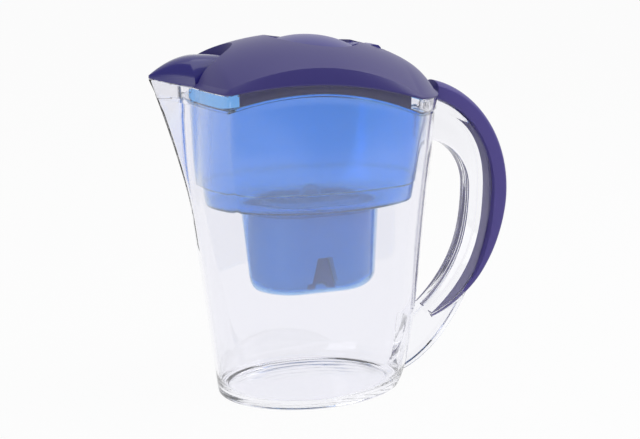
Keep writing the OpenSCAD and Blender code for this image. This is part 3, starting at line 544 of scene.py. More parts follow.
@dataclass
class Handle:
    """The handle: a clear frame, the grip strap on it and the core between them."""

    reach: float = 169.0
    frame_w: float = 17.0
    frame_wall: float = 2.2
    grip_half_w: float = 13.0
    tail_half_w: float = 3.5
    strap_t: float = 14.0
    strap_crown: float = 5.0
    strap_tuck: float = 0.07
    strap_soft: float = 0.16
    core_start: float = 0.24
    gap: float = 0.3
    steps: int = 36
    fan: int = 14

    def line(self, top: Sequence, low: Sequence) -> list[Vector]:
        """A handle curve from its two arcs, from the rim to the foot."""
        return ([cubic(top, i / self.steps) for i in range(self.steps)]
                + [cubic(low, i / self.steps) for i in range(self.steps + 1)])

    def __post_init__(self) -> None:
        """Draws the four curves that every section hangs on."""
        r = self.reach
        self.grip = self.line([(104, 236.5), (138, 229), (r, 193), (r, 145)],
                              [(r, 145), (r, 114), (r - 18, 59.5), (106, 44.5)])
        self.outer = self.line([(98, 223), (130, 217), (r - 13, 182), (r - 13, 150)],
                               [(r - 13, 150), (r - 13, 105), (130, 22), (76, 3)])
        self.core = self.line([(121, 207), (r - 32, 197), (r - 22, 178), (r - 22, 150)],
                              [(r - 22, 150), (r - 22, 112), (r - 28, 80), (104.5, 49.5)])
        self.loop = self.line([(96, 191), (122, 188), (r - 35, 168), (r - 35, 150)],
                              [(r - 35, 150), (r - 35, 110), (r - 43, 78), (82, 45)])
        self.count = 2 * self.steps

    def half_w(self, t: float) -> float:
        """Half width of the strap at share t of its length.

        Args:
            t: 0 at the lid, 1 at the tail.

        Returns:
            Half width.
        """
        if t < 0.7:
            return self.grip_half_w - 1.5 * (1 - t / 0.7) ** 2
        fade = math.cos(math.pi / 2 * (t - 0.7) / 0.3)
        return self.tail_half_w + (self.grip_half_w - self.tail_half_w) * max(0.0, fade) ** 1.4

    def depth(self, t: float) -> float:
        """Thickness of the strap at share t of its length."""
        share = np.interp(t, [0, 0.55, 0.7, 0.81, 0.9, 1], [0.96, 1, 0.73, 0.45, 0.36, 0.26])
        return self.strap_t * float(share)

    def inward(self, i: int) -> Vector:
        """Direction from the strap's crown towards the hand's palm side.

        Args:
            i: number of the section.

        Returns:
            A direction in X and Z.
        """
        if i == 0:
            return Vector((0, -1))
        d = self.grip[min(i + 1, self.count)] - self.grip[max(i - 1, 0)]
        return Vector((d.y, -d.x)).normalized()

    def strap_ring(self, i: int, gap: float) -> Row:
        """The strap's section: crowned outside, rounded sides, flat underside.

        Args:
            i: number of the section.
            gap: how far the section is grown.

        Returns:
            A ring of points.
        """
        t = i / self.count
        w, depth, n = self.half_w(t) + gap, self.depth(t), self.inward(i)
        edge = min(self.strap_crown * (self.half_w(t) / self.grip_half_w) ** 0.6, 0.6 * depth)
        soft = self.strap_soft * depth
        fan = [math.sin(math.pi / 2 * k / self.fan) for k in range(-self.fan, self.fan + 1)]
        side = [(s * w, edge * (1 - math.sqrt(1 - s * s)) - gap) for s in fan]
        under = (1 - self.strap_tuck) * w
        corner = [(under + (w - under) * math.cos(u), depth + gap - soft * (1 - math.sin(u)))
                  for u in spread(0, math.pi / 2, 6)]
        side += corner + [(s * under, depth + gap) for s in (0.5, 0, -0.5)]
        side += [(-s, q) for s, q in reversed(corner)]
        return [(self.grip[i].x + q * n.x, s, self.grip[i].y + q * n.y) for s, q in side]

    def strap(self, name: str, gap: float) -> bpy.types.Object:
        """The strap as a closed solid, grown by a gap."""
        rows = [self.strap_ring(i, gap) for i in range(self.count + 1)]
        return closed(rows).soften(1, 1.2).finish(name)

    def bar(self, name: str, inner: list[Vector], outer: list[Vector], width: float,
            round_r: float) -> bpy.types.Object:
        """A bar between two handle curves, with a rounded rectangle as its section.

        Args:
            name: name of the object.
            inner: curve on the side of the jug.
            outer: curve on the side of the strap.
            width: size across the pitcher.
            round_r: radius of its edges.

        Returns:
            The bar.
        """
        corner = spread(0, math.pi / 2, 6)
        rows = []
        for p, q in zip(inner, outer):
            half_d, half_w = (q - p).length / 2, width / 2
            r = min(round_r, half_d * 0.9)
            across = (q - p).normalized()
            ring = []
            for k, (sd, sw) in enumerate(((1, 1), (-1, 1), (-1, -1), (1, -1))):
                for u in corner if k % 2 == 0 else reversed(corner):
                    d = sd * (half_d - r + r * math.cos(u))
                    w = sw * (half_w - r + r * math.sin(u))
                    at = (p + q) / 2 + across * d
                    ring.append((at.x, w, at.y))
            rows.append(ring)
        return closed(rows).finish(name)

    def core_bar(self, name: str, grow: float) -> bpy.types.Object:
        """The core between the strap's underside and its own inner curve.

        Args:
            name: name of the object.
            grow: how far it is grown, for the channel round it.

        Returns:
            The core.
        """
        first = round(self.core_start * self.count)
        under = [self.grip[i] + (self.depth(i / self.count) + self.gap - grow) * self.inward(i)
                 for i in range(first, self.count + 1)]
        table = spread(0, 1, len(self.core) - 1)
        shares = spread(0, 1, len(under) - 1)
        inner = [Vector((float(np.interp(s, table, [p.x for p in self.core])),
                         float(np.interp(s, table, [p.y for p in self.core])))) for s in shares]
        inner = [p + (p - q).normalized() * grow for p, q in zip(inner, under)]
        width = self.frame_w - 2 * self.frame_wall - 2 * self.gap + 2 * grow
        return self.bar(name, inner, under, width, 0.8)

    def clear_frame(self) -> bpy.types.Object:
        """The clear frame with the channel for the core and the socket for the strap."""
        made = self.bar("handle_frame", self.loop, self.outer, self.frame_w, 2.5)
        combine(made, self.core_bar("channel", self.gap), Join.CUT)
        return combine(made, self.strap("socket", self.gap), Join.CUT)

    def build(self) -> dict[str, bpy.types.Object]:
        """Makes the strap and the core."""
        return {"handle_grip": smooth(self.strap("grip_strap", 0)),
                "grip_core": smooth(self.core_bar("grip_inner_core", 0))}


@dataclass
class Jug:
    """The clear jug: foot, leaning walls, spout and collar, with the handle's frame."""

    handle: Handle
    wall: float = 2.4
    floor: float = 4.0
    foot_round: float = 2.5
    foot_recess: float = 1.2
    collar_proud: float = 1.0
    collar_wall: float = 1.6
    flange_t: float = 2.6

    def plan(self, z: float, grow: float = 0.0) -> Plan:
        """The jug's plan at a height."""
        return plan_of(lambda a: FORM.jug_reach(a, z, grow))

    def outside(self) -> bpy.types.Object:
        """Outer surface, closed across the top.

        Returns:
            The solid.
        """
        foot, r = self.plan(0), self.foot_round
        rows = [pole(self.foot_recess), level(inset(foot, 7), self.foot_recess),
                level(inset(foot, 5.5), 0), level(inset(foot, r), 0)]
        rows += [level(inset(self.plan(r), r * (1 - math.sin(u))), r * (1 - math.cos(u)))
                 for u in spread(0.3, 1.57, 4)]
        rows += wall_rows(self.plan, spread(6, 214, 38))
        rim = self.plan(FORM.rim_nom_z, self.collar_proud)
        step = len(rows)
        rows += [following(self.plan(FORM.ledge_z), FORM.flange_z, -0.6),
                 following(self.plan(FORM.ledge_z, self.collar_proud), FORM.flange_z, 0.4),
                 following(rim, FORM.rim_z, -0.5), following(inset(rim, 0.4), FORM.rim_z),
                 pole(FORM.rim_nom_z)]
        return Sheet(rows).soften(step + 1, 0.35, 2).finish("clear_jug")

    def inside(self) -> bpy.types.Object:
        """Inner surface, closed above the rim, as the solid that is taken out.

        Returns:
            The solid.
        """
        rows = [pole(self.floor), level(inset(self.plan(0), self.wall + 8), self.floor),
                level(inset(self.plan(2), self.wall + 2.5), self.floor + 1.2),
                level(inset(self.plan(5), self.wall + 0.5), self.floor + 4)]
        rows += wall_rows(lambda z: inset(self.plan(z), self.wall), spread(12, 214, 37))
        rim = inset(self.plan(FORM.rim_nom_z, self.collar_proud), self.collar_wall)
        throat = inset(self.plan(FORM.ledge_z), self.wall)
        seat = inset(self.plan(FORM.ledge_z, self.collar_proud), self.collar_wall)
        rows += [following(throat, FORM.flange_z, -self.flange_t),
                 following(seat, FORM.flange_z, 0.1 - self.flange_t),
                 following(rim, FORM.rim_z, 1), pole(FORM.rim_nom_z + 14)]
        return Sheet(rows).soften(2, 1.0, 2).soften(3, 1.5, 2).finish("jug_hollow")

    def build(self) -> dict[str, bpy.types.Object]:
        """Makes the jug with its handle frame.

        Returns:
            The piece, under the name of its node.
        """
        made = combine(self.outside(), self.handle.clear_frame(), Join.ADD)
        return {"jug": smooth(combine(made, self.inside(), Join.CUT))}


@dataclass
class Reservoir:
    """The lift-out blue reservoir with the cartridge well in its floor."""

    wall: float = 1.8
    floor_z: float = 150.0
    flange_t: float = 2.6
    side_gap: float = 3.0
    front_gap: float = 7.0
    floor_front_gap: float = 9.0
    rear_gap: float = 4.7
    step_z: float = 164.0
    step: float = 1.6
    well_z: float = 82.0
    well_x: float = 2.3
    well_half_l: float = 51.0
    well_half_w: float = 35.0
    well_round: float = 11.0
    well_draft: float = 2.5
    lift_gap: float = 0.4
    hole_r: float = 13.0

    def tank(self, z: float, extra: float = 0.0) -> Plan:
        """The tank's plan at a height, moved inwards by an extra depth.

        Args:
            z: height.
            extra: depth inside the outer face.

        Returns:
            The outline.
        """
        t = (FORM.ledge_z - z) / (FORM.ledge_z - self.floor_z)
        f = FORM.front_x(z) - self.front_gap - (self.floor_front_gap - self.front_gap) * t
        b, w = FORM.rear_x(z) - self.rear_gap, FORM.half_w(z) - self.side_gap
        return inset(plan_of(lambda a: FORM.mixed_reach(a, f, b, w, 1 - max(0.0, t) ** 1.5)), extra)

    def well(self, z: float, depth: float) -> Row:
        """The well's ring at a height: two half discs and a straight middle.

        Args:
            z: height.
            depth: depth inside the outer face.

        Returns:
            A ring of points.
        """
        grow = self.well_draft * (z - self.well_z) / (self.floor_z - self.well_z) - depth
        half_l, half_w = self.well_half_l + grow, self.well_half_w + grow

        def reach(a: float) -> float:
            """Reach of the well in a direction."""
            if abs(math.cos(a)) * half_w <= abs(math.sin(a)) * (half_l - half_w):
                return half_w / abs(math.sin(a))
            return disc_reach(math.copysign(half_l - half_w, math.cos(a)), 0, half_w, a)

        return [(x + self.well_x, y, z) for x, y in plan_of(reach)]

    def turned(self, depth: float, r: float) -> list[Row]:
        """Rings of the well's rounded lower edge, from its floor up."""
        z = self.well_z + depth
        return [self.well(z + r * (1 - math.cos(u)), depth + r * (1 - math.sin(u)))
                for u in spread(0, math.pi / 2, 8)]

    def build(self) -> dict[str, bpy.types.Object]:
        """Makes the reservoir as one skin, outside up and inside down.

        Returns:
            The piece, under the name of its node.
        """
        t, low, ledge = self.wall, self.floor_z, FORM.ledge_z
        hole = [(self.well_x + self.hole_r * math.cos(a), self.hole_r * math.sin(a)) for a in TURN]
        rim = inset(plan_of(lambda a: FORM.body_reach(a, ledge) + 1.0), 1.6 + self.lift_gap)
        rows = [level(hole, self.well_z), *self.turned(0, self.well_round)]
        rows += [self.well(z, 0) for z in spread(self.well_z + self.well_round + 8, low - 2, 6)]
        rows += [self.well(low, -2), level(self.tank(low, self.step + 2), low),
                 level(self.tank(low, self.step + 0.6), low + 0.6),
                 level(self.tank(low, self.step), low + 2)]
        rows += [level(self.tank(z, self.step), z) for z in spread(low + 6, self.step_z, 3)]
        rows += [level(self.tank(z), z + 1) for z in (self.step_z, self.step_z + 3)]
        rows += wall_rows(self.tank, spread(172, 218, 9))
        edge = len(rows)
        rows += [following(self.tank(ledge), FORM.flange_z, -self.flange_t),
                 following(rim, FORM.flange_z, self.lift_gap / 2 - self.flange_t),
                 following(rim, FORM.flange_z), following(self.tank(ledge, t), FORM.flange_z)]
        rows += wall_rows(lambda z: self.tank(z, t), spread(218, 172, 9))
        rows += [level(self.tank(z, t), z + 1 + t / 2) for z in (self.step_z + 3, self.step_z)]
        rows += [level(self.tank(z, self.step + t), z + t / 2)
                 for z in spread(self.step_z, low + 6, 3)]
        rows += [level(self.tank(low, self.step + t), low + 2 + t),
                 level(self.tank(low, self.step + t + 0.4), low + t + 0.5),
                 level(self.tank(low, self.step + t + 1.5), low + t),
                 self.well(low + t, t * 0.3 - 2)]
        rows += [self.well(z, t)
                 for z in spread(low - 2 + t * 0.3, self.well_z + self.well_round + 8, 6)]
        rows += [*reversed(self.turned(t, self.well_round - t * 0.4)), level(hole, self.well_z + t)]
        sheet = Sheet([*rows, rows[0]])
        for row in range(edge, edge + 4):
            sheet.soften(row, 0.4, 2)
        return {"reservoir": smooth(sheet.finish("blue_reservoir"))}


@dataclass
class Lens:
    """The pointed oval of the fill flap and its dish, tilted with the crown."""

    half_l: float = 34.0
    half_w: float = 34.5
    x: float = 3.5
    z: float = 264.6
    tilt: float = math.radians(4)
    steps: int = 144

    def ring(self, grow: float, z: float, shrink: float = 1.0) -> Row:
        """A ring of the lens.

        Args:
            grow: how far the outline is moved outwards.
            z: height above the dish floor.
            shrink: share of the outline, for rings that close a top.

        Returns:
            The ring's points.
        """
        r = (self.half_l ** 2 + self.half_w ** 2) / (2 * self.half_w)
        ring = []
        for i in range(self.steps):
            a = 2 * math.pi * i / self.steps
            sides = [disc_reach(0, s * (self.half_w - r), r + grow, a) for s in (1, -1)]
            reach = shrink * round_least(sides, FORM.blend_power)
            ring.append(self.tilted(reach * math.cos(a), reach * math.sin(a), z))
        return ring

    def tilted(self, x: float, y: float, z: float) -> Point:
        """Tilts a point with the crown and moves it to the dish."""
        c, s = math.cos(self.tilt), math.sin(self.tilt)
        return (self.x + x * c + z * s, y, self.z - x * s + z * c)


@dataclass
class Lid:
    """The domed lid with the dish, the hood over the spout flap and its flaps."""

    crown_z: float = 276.1
    crown_x: float = 12.0
    ridge_r: float = 195.0
    wall: float = 2.4
    gap: float = 0.3
    proud: float = 1.8
    edge_h: float = 4.0
    panel_rise: float = 8.0
    panel_lean: float = 3.2
    centre_x: float = -8.0
    side_power: float = 1.9
    end_power: float = 20.0
    dish_gap: float = 0.8
    dish_margin: float = 5.0
    hinge_x: float = 52.0
    hinge_z: float = 259.2
    tongue_w: float = 16.0
    pin_r: float = 1.5
    pin_gap: float = 0.05
    flap_rise: float = 9.8
    flap_edge: float = 1.6
    beak_hinge_x: float = -66.5
    beak_hinge_z: float = 257.5
    beak_t: float = 1.8
    beak_rise: float = 19.0
    barrel_half: float = 8.5
    lug_y: float = 10.2
    lug_half: float = 1.7
    lug_slot: float = 3.2
    hood_x: float = 58.7
    hood_half_w: float = 23.5
    hood_bend: float = 0.037
    hood_wall: float = 1.8
    lens: Lens = field(default_factory=Lens)

    def ridge_z(self, x: float) -> float:
        """Height of the ridge line at x."""
        return self.crown_z - self.ridge_r + math.sqrt(self.ridge_r ** 2 - (x + self.crown_x) ** 2)

    def edge_z(self, x: float) -> float:
        """Height of the crease over the side panels at x."""
        return FORM.rim_z(x) + self.gap + self.edge_h + self.panel_rise * FORM.arch(x)

    def dome(self, plan: Plan, f: float, drop: float) -> Row:
        """A ring of the dome at share f of the plan.

        Args:
            plan: outline of the dome's edge.
            f: 1 at the edge, 0 in the middle.
            drop: how far the ring is lowered.

        Returns:
            A ring of points.
        """
        half = sorted((x, y) for x, y in plan if y >= -1e-6)
        xs, ys = [p[0] for p in half], [p[1] for p in half]
        row = []
        for px, py in plan:
            x, y = self.centre_x + f * (px - self.centre_x), f * py
            across = min(1.0, abs(y) / max(0.01, float(np.interp(x, xs, ys))))
            end = xs[-1] if x > self.centre_x else xs[0]
            along = min(1.0, (x - self.centre_x) / (end - self.centre_x))
            fall = 1 - (1 - across ** self.side_power) * (1 - abs(along) ** self.end_power)
            top = self.ridge_z(x)
            row.append((x, y, top - (top - self.edge_z(x)) * (1.0 if f == 1 else fall) - drop))
        return row

    def shell(self, name: str, depth: float) -> bpy.types.Object:
        """The dome as a solid, moved inwards by a depth.

        Args:
            name: name of the object.
            depth: 0 for the outside, the wall for the hollow.

        Returns:
            The solid.
        """
        edge = inset(plan_of(lambda a: FORM.body_reach(a, FORM.rim_nom_z) + self.proud), depth)
        low = self.gap if depth == 0 else -2.0
        shares = [1 - (i / 34) ** 1.5 for i in range(34)]
        rows = [pole(FORM.rim_nom_z + low), following(edge, FORM.rim_z, low),
                following(inset(edge, -0.3 if depth == 0 else 0), FORM.rim_z, self.gap + 1)]
        top = inset(edge, self.panel_lean)
        rows += [self.dome(top, f, depth) for f in shares]
        rows.append([(self.centre_x, 0.0, self.ridge_z(self.centre_x) - depth)] * RING)
        return Sheet(rows).soften(3, 1.4, 4).soften(2, 0.5, 2).finish(name)

    def dish(self, name: str, grow: float) -> bpy.types.Object:
        """The coved dish round the fill flap, as a solid.

        Args:
            name: name of the object.
            grow: how far it is grown, for the wall round it.

        Returns:
            The solid.
        """
        rows = []
        for u in spread(0, 1, 16):
            cove = self.dish_margin * (1 - math.sqrt(1 - u * u)) * 1.6
            rows.append(self.lens.ring(self.dish_gap + grow + cove, u * 14 - grow))
        low, high = (self.lens.tilted(0, 0, z - grow) for z in (0, 14))
        return Sheet([[low] * self.lens.steps, *rows, [high] * self.lens.steps]).finish(name)

    def hood(self, name: str, grow: float, low: float, stop: float) -> bpy.types.Object:
        """The block that the hood's edge bounds, from a height up and from x = stop back.

        Args:
            name: name of the object.
            grow: how far it is grown.
            low: height of its foot.
            stop: where it ends towards the spout.

        Returns:
            The block.
        """
        width = self.hood_half_w + grow
        edge = [(-self.hood_x + grow - self.hood_bend * y * y, y)
                for y in spread(-width, width, 40)]
        root = -FORM.front_x(FORM.rim_nom_z) + 1
        side = FORM.spout_half_w + 1.2 + grow
        ends = [(stop, -side)] if stop >= root else [(stop, -side), (root, -side)]
        return prism(name, ends + edge + [(x, -y) for x, y in reversed(ends)], low, 320)

    def build_lid(self) -> bpy.types.Object:
        """Makes the lid: shell, dish, hood and the groove for the flap's tongue."""
        solid = self.shell("lid_dome", 0)
        block = combine(self.dish("lid_cove", self.wall),
                        self.hood("lid_curtain", self.hood_wall, FORM.rim_front_z + 9,
                                  -FORM.front_x(FORM.rim_nom_z) + 6), Join.ADD)
        combine(block, solid, Join.KEEP, keep_tool=True)
        combine(solid, self.shell("lid_hollow", self.wall), Join.CUT)
        combine(solid, block, Join.ADD)
        combine(solid, self.dish("lid_dish", 0), Join.CUT)
        hole = [self.lens.ring(-3.5, z) for z in (-10, 10)]
        caps = [[self.lens.tilted(0, 0, z)] * self.lens.steps for z in (-10, 10)]
        combine(solid, Sheet([caps[0], *hole, caps[1]]).finish("fill_hole"), Join.CUT)
        combine(solid, self.hood("hood_cut", 0, FORM.rim_nom_z - 20, -FORM.spout_reach - 20),
                Join.CUT)
        half = (self.tongue_w + 1) / 2
        groove = box("tongue_groove", (self.lens.x + self.lens.half_l - 6, -half, self.hinge_z - 6),
                     (self.hinge_x + 9.2, half, self.hinge_z + 34))
        return smooth(combine(solid, groove, Join.CUT))

    def pillow(self, name: str, grow: float, lift: float) -> bpy.types.Object:
        """The fill flap's pillow, with a rounded edge, as a solid.

        Args:
            name: name of the object.
            grow: how far it is grown, below 0 for its hollow.
            lift: how far its underside is lowered.

        Returns:
            The solid.
        """
        rise = self.flap_rise - self.flap_edge

        def crown(share: float) -> float:
            """Height of the pillow's top at a share of its outline."""
            return 0.3 + self.flap_edge + grow + rise * (1 - share ** 2.1) ** 0.9

        steps = self.lens.steps
        rows = [[self.lens.tilted(0, 0, 0.3 - lift)] * steps, self.lens.ring(grow, 0.3 - lift)]
        rows += [self.lens.ring(grow, crown(s), s) for s in (1, 0.985, *spread(0.95, 0.1, 16))]
        rows.append([self.lens.tilted(0, 0, crown(0))] * steps)
        sheet = Sheet(rows)
        if grow == 0:
            sheet.soften(2, 1.1, 4).soften(1, 0.4, 2)
        return sheet.finish(name)

    def build_fill_flap(self) -> bpy.types.Object:
        """Makes the fill flap: hollow pillow, tongue, barrel and bore."""
        made = self.pillow("fill_flap_pillow", 0, 0)
        back = self.lens.x + self.lens.half_l - 7
        hx, hz, bump = self.hinge_x, self.hinge_z, self.ridge_z(self.hinge_x + 2) + 1.6
        side = [(back, self.ridge_z(back) - 5.2), (back + 9, self.ridge_z(back + 9) - 1.6),
                (hx - 4, self.ridge_z(hx - 4) - 0.6), (hx - 1, bump), (hx + 3, bump - 0.6),
                (hx + 5, bump - 2.6), (hx + 5, hz + 2), (hx + 2.4, hz), (hx - 3, hz + 1.2),
                (back + 6, hz + 4.5), (back, hz + 4.5)]
        mid = tuple(np.mean(side, axis=0))
        half = self.tongue_w / 2
        rows = [[(mid[0], y, mid[1])] * len(side) if cap else [(x, y, z) for x, z in side]
                for y, cap in ((-half, True), (-half, False), (half, False), (half, True))]
        tongue = Sheet(rows).soften(1, 0.5, 2).soften(2, 0.5, 2).finish("flap_tongue")
        combine(made, tongue, Join.ADD)
        combine(made, rod("flap_barrel", hx, hz, self.pin_r + 1.9, self.tongue_w), Join.ADD)
        combine(made, self.pillow("flap_hollow", -2, 1), Join.CUT)
        bore = rod("flap_bore", hx, hz, self.pin_r + self.pin_gap, 2 * self.tongue_w)
        return smooth(combine(made, bore, Join.CUT))

    def beak_section(self, x: float) -> Row:
        """The spout flap's section at x: an arch outside and the same arch inside.

        Args:
            x: place along the pitcher.

        Returns:
            A ring of points.
        """
        root = -FORM.front_x(FORM.rim_nom_z) + 2
        rear = self.beak_hinge_x + 2.6
        if x < root:
            w = 0.9 + (FORM.spout_half_w - 0.4) * (x + FORM.spout_reach) / (root + FORM.spout_reach)
        else:
            w = self.barrel_half + (FORM.spout_half_w - self.barrel_half) * math.sqrt(
                max(0.0, (rear - x) / (rear - root)))
        low = FORM.rim_z(min(x, root)) + 0.5 + (self.beak_hinge_z - 2 - FORM.rim_z(root)) * (
            above(x, root) / (rear - root)) ** 1.2
        u = (x + FORM.spout_reach) / 34
        high = FORM.rim_z(-FORM.spout_reach) + 2.4 + (self.beak_rise - 5.1) * (
            1 - (1 - u) ** 1.9 if u < 1 else 1) - 3.2 * above(u, 1) ** 2
        fan = [math.sin(math.pi / 2 * k / 14) for k in range(-14, 15)]
        rings = []
        for t in (0.0, self.beak_t):
            half, top = max(0.3, w - t), high - t
            rings.append([(x, s * half, low + (top - low) * max(0.0, 1 - abs(s) ** 2.2) ** 0.6)
                          for s in fan])
        return rings[0] + list(reversed(rings[1]))

    def build_spout_flap(self) -> bpy.types.Object:
        """Makes the spout flap: a thin beak with its hinge barrel and lug slots."""
        rear = self.beak_hinge_x + 2.6
        tip = -FORM.spout_reach + 0.4
        xs = [tip + (rear - tip) * (i / 44) ** 1.5 for i in range(45)]
        rows = [self.beak_section(x) for x in xs]

        def closing(row: Row) -> Row:
            """The row folded onto the middle of its wall, which closes an end."""
            return [tuple((a + b) / 2 for a, b in zip(p, q)) for p, q in zip(row, reversed(row))]

        made = Sheet([closing(rows[0]), *rows, closing(rows[-1])]).finish("spout_flap_beak")
        hx, hz = self.beak_hinge_x, self.beak_hinge_z
        combine(made, rod("beak_barrel", hx, hz, self.pin_r + 1.8, 2 * self.barrel_half), Join.ADD)
        bore = rod("beak_bore", hx, hz, self.pin_r + self.pin_gap, 3 * self.barrel_half)
        combine(made, bore, Join.CUT)
        slot = self.lug_slot
        for y in (-self.lug_y, self.lug_y):
            combine(made, box("lug_slot", (hx - slot, y - self.lug_half, hz - 12),
                              (hx + slot, y + self.lug_half, hz + slot)), Join.CUT)
        return smooth(made)

    def build(self) -> dict[str, bpy.types.Object]:
        """Makes the lid and its two flaps."""
        return {"lid": self.build_lid(), "fill_flap": self.build_fill_flap(),
                "spout_flap": self.build_spout_flap()}


# Finishes: one for each material slot of the part


class Pattern(Enum):
    """The fine relief of a finish."""

    GRAIN = "fine noise"
    CELLS = "beads or granules"
    WEAVE = "crossed threads"
    BRUSHED = "lines along the pin"


@dataclass
class Graph:
    """A material's node tree, with one way to add to it."""

    tree: bpy.types.NodeTree

    def add(self, kind: str, sockets: dict[str | int, Any] | None = None,
            **settings: Any) -> bpy.types.Node:
        """Adds a node.

        Args:
            kind: the node's type.
            sockets: inputs by name or number, each a value or a socket to link from.
            settings: attributes of the node itself.

        Returns:
            The new node.
        """
        node = self.tree.nodes.new(kind)
        for key, value in settings.items():
            setattr(node, key, value)
        for key, value in (sockets or {}).items():
            if isinstance(value, bpy.types.NodeSocket):
                self.tree.links.new(value, node.inputs[key])
            else:
                node.inputs[key].default_value = value
        return node


def blank(block: bpy.types.Material | bpy.types.World) -> Graph:
    """Empties the node tree of a material or world, to be filled again.

    Args:
        block: the material or world.

    Returns:
        Its node tree.
    """
    block.use_nodes = True
    block.node_tree.nodes.clear()
    return Graph(block.node_tree)


@dataclass(frozen=True)
class Finish:
    """One opaque finish: colour, gloss, the relief that catches the light, and painted shade in the
    relief's hollows.
    """

    name: str
    color: str
    roughness: float
    ior: float
    pattern: Pattern
    pitch: float
    height: float
    metallic: float = 0.0
    coat: float = 0.0
    # shade: share by which the colour darkens where the relief is low, a painted shade in its
    # hollows
    shade: float = 0.06

    def relief(self, graph: Graph) -> bpy.types.NodeSocket:
        """The height of the pattern, from 0 to 1, at its real pitch.

        Args:
            graph: the node tree to add to.

        Returns:
            The socket with the height.
        """
        at = graph.add("ShaderNodeTexCoord").outputs["Object"]
        scale = 1 / (self.pitch * MM)
        if self.pattern is Pattern.CELLS:
            cells = graph.add("ShaderNodeTexVoronoi", {"Vector": at, "Scale": scale})
            return cells.outputs["Distance"]
        if self.pattern is Pattern.WEAVE:
            waves = [graph.add("ShaderNodeTexWave", {"Vector": at, "Scale": scale / 2},
                               bands_direction=axis).outputs["Fac"] for axis in ("X", "Y")]
            crossed = graph.add("ShaderNodeMath", {0: waves[0], 1: waves[1]},
                                operation="MULTIPLY")
            return crossed.outputs[0]
        if self.pattern is Pattern.BRUSHED:
            at = graph.add("ShaderNodeMapping", {"Vector": at, "Scale": (1, 0.04, 1)}).outputs[0]
        noise = graph.add("ShaderNodeTexNoise", {"Vector": at, "Scale": scale, "Detail": 3.0})
        return noise.outputs["Fac"]

    def build(self) -> bpy.types.Material:
        """Makes the material."""
        made = bpy.data.materials.new(self.name)
        graph = blank(made)
        relief = self.relief(graph)
        base = linear(self.color)
        # Darker where the relief is low: painted shade in the relief's hollows
        dark = tuple(c * (1 - self.shade) for c in base[:3]) + (1.0,)
        hollow_shaded_tint = graph.add("ShaderNodeMix", {0: relief, 6: dark, 7: base}, data_type="RGBA")
        bump = graph.add("ShaderNodeBump", {"Height": relief, "Distance": self.height * MM,
                                            "Strength": 1.0})
        skin = graph.add("ShaderNodeBsdfPrincipled", {
            "Base Color": hollow_shaded_tint.outputs[2], "Roughness": self.roughness, "IOR": self.ior,
            "Metallic": self.metallic, "Coat Weight": self.coat, "Coat Roughness": 0.08,
            "Normal": bump.outputs[0]})
        graph.add("ShaderNodeOutputMaterial", {"Surface": skin.outputs[0]})
        return made


@dataclass(frozen=True)
class ClearFinish:
    """A see-through plastic: it refracts what lies behind it and lets lamp light through."""

    name: str
    color: str
    roughness: float
    ior: float
    wave: float
    coat: float
    pitch: float = 22.0

    def build(self) -> bpy.types.Material:
        """Makes the material."""
        made = bpy.data.materials.new(self.name)
        graph = blank(made)
        at = graph.add("ShaderNodeTexCoord").outputs["Object"]
        flow = graph.add("ShaderNodeTexNoise", {"Vector": at, "Scale": 1 / (self.pitch * MM),
                                                "Detail": 2.0})
        bump = graph.add("ShaderNodeBump", {"Height": flow.outputs["Fac"],
                                            "Distance": self.wave * MM})
        glass = graph.add("ShaderNodeBsdfPrincipled", {
            "Base Color": linear(self.color), "Roughness": self.roughness, "IOR": self.ior,
            "Transmission Weight": 1.0, "Coat Weight": self.coat, "Coat Roughness": 0.12,
            "Coat IOR": 1.6, "Normal": bump.outputs[0]})
        face = tuple(math.sqrt(c) for c in linear(self.color)[:3]) + (1.0,)
        through = graph.add("ShaderNodeBsdfTransparent", {"Color": face})
        path = graph.add("ShaderNodeLightPath")
        mix = graph.add("ShaderNodeMixShader", {
            0: path.outputs["Is Shadow Ray"], 1: glass.outputs[0], 2: through.outputs[0]})
        graph.add("ShaderNodeOutputMaterial", {"Surface": mix.outputs[0]})
        return made


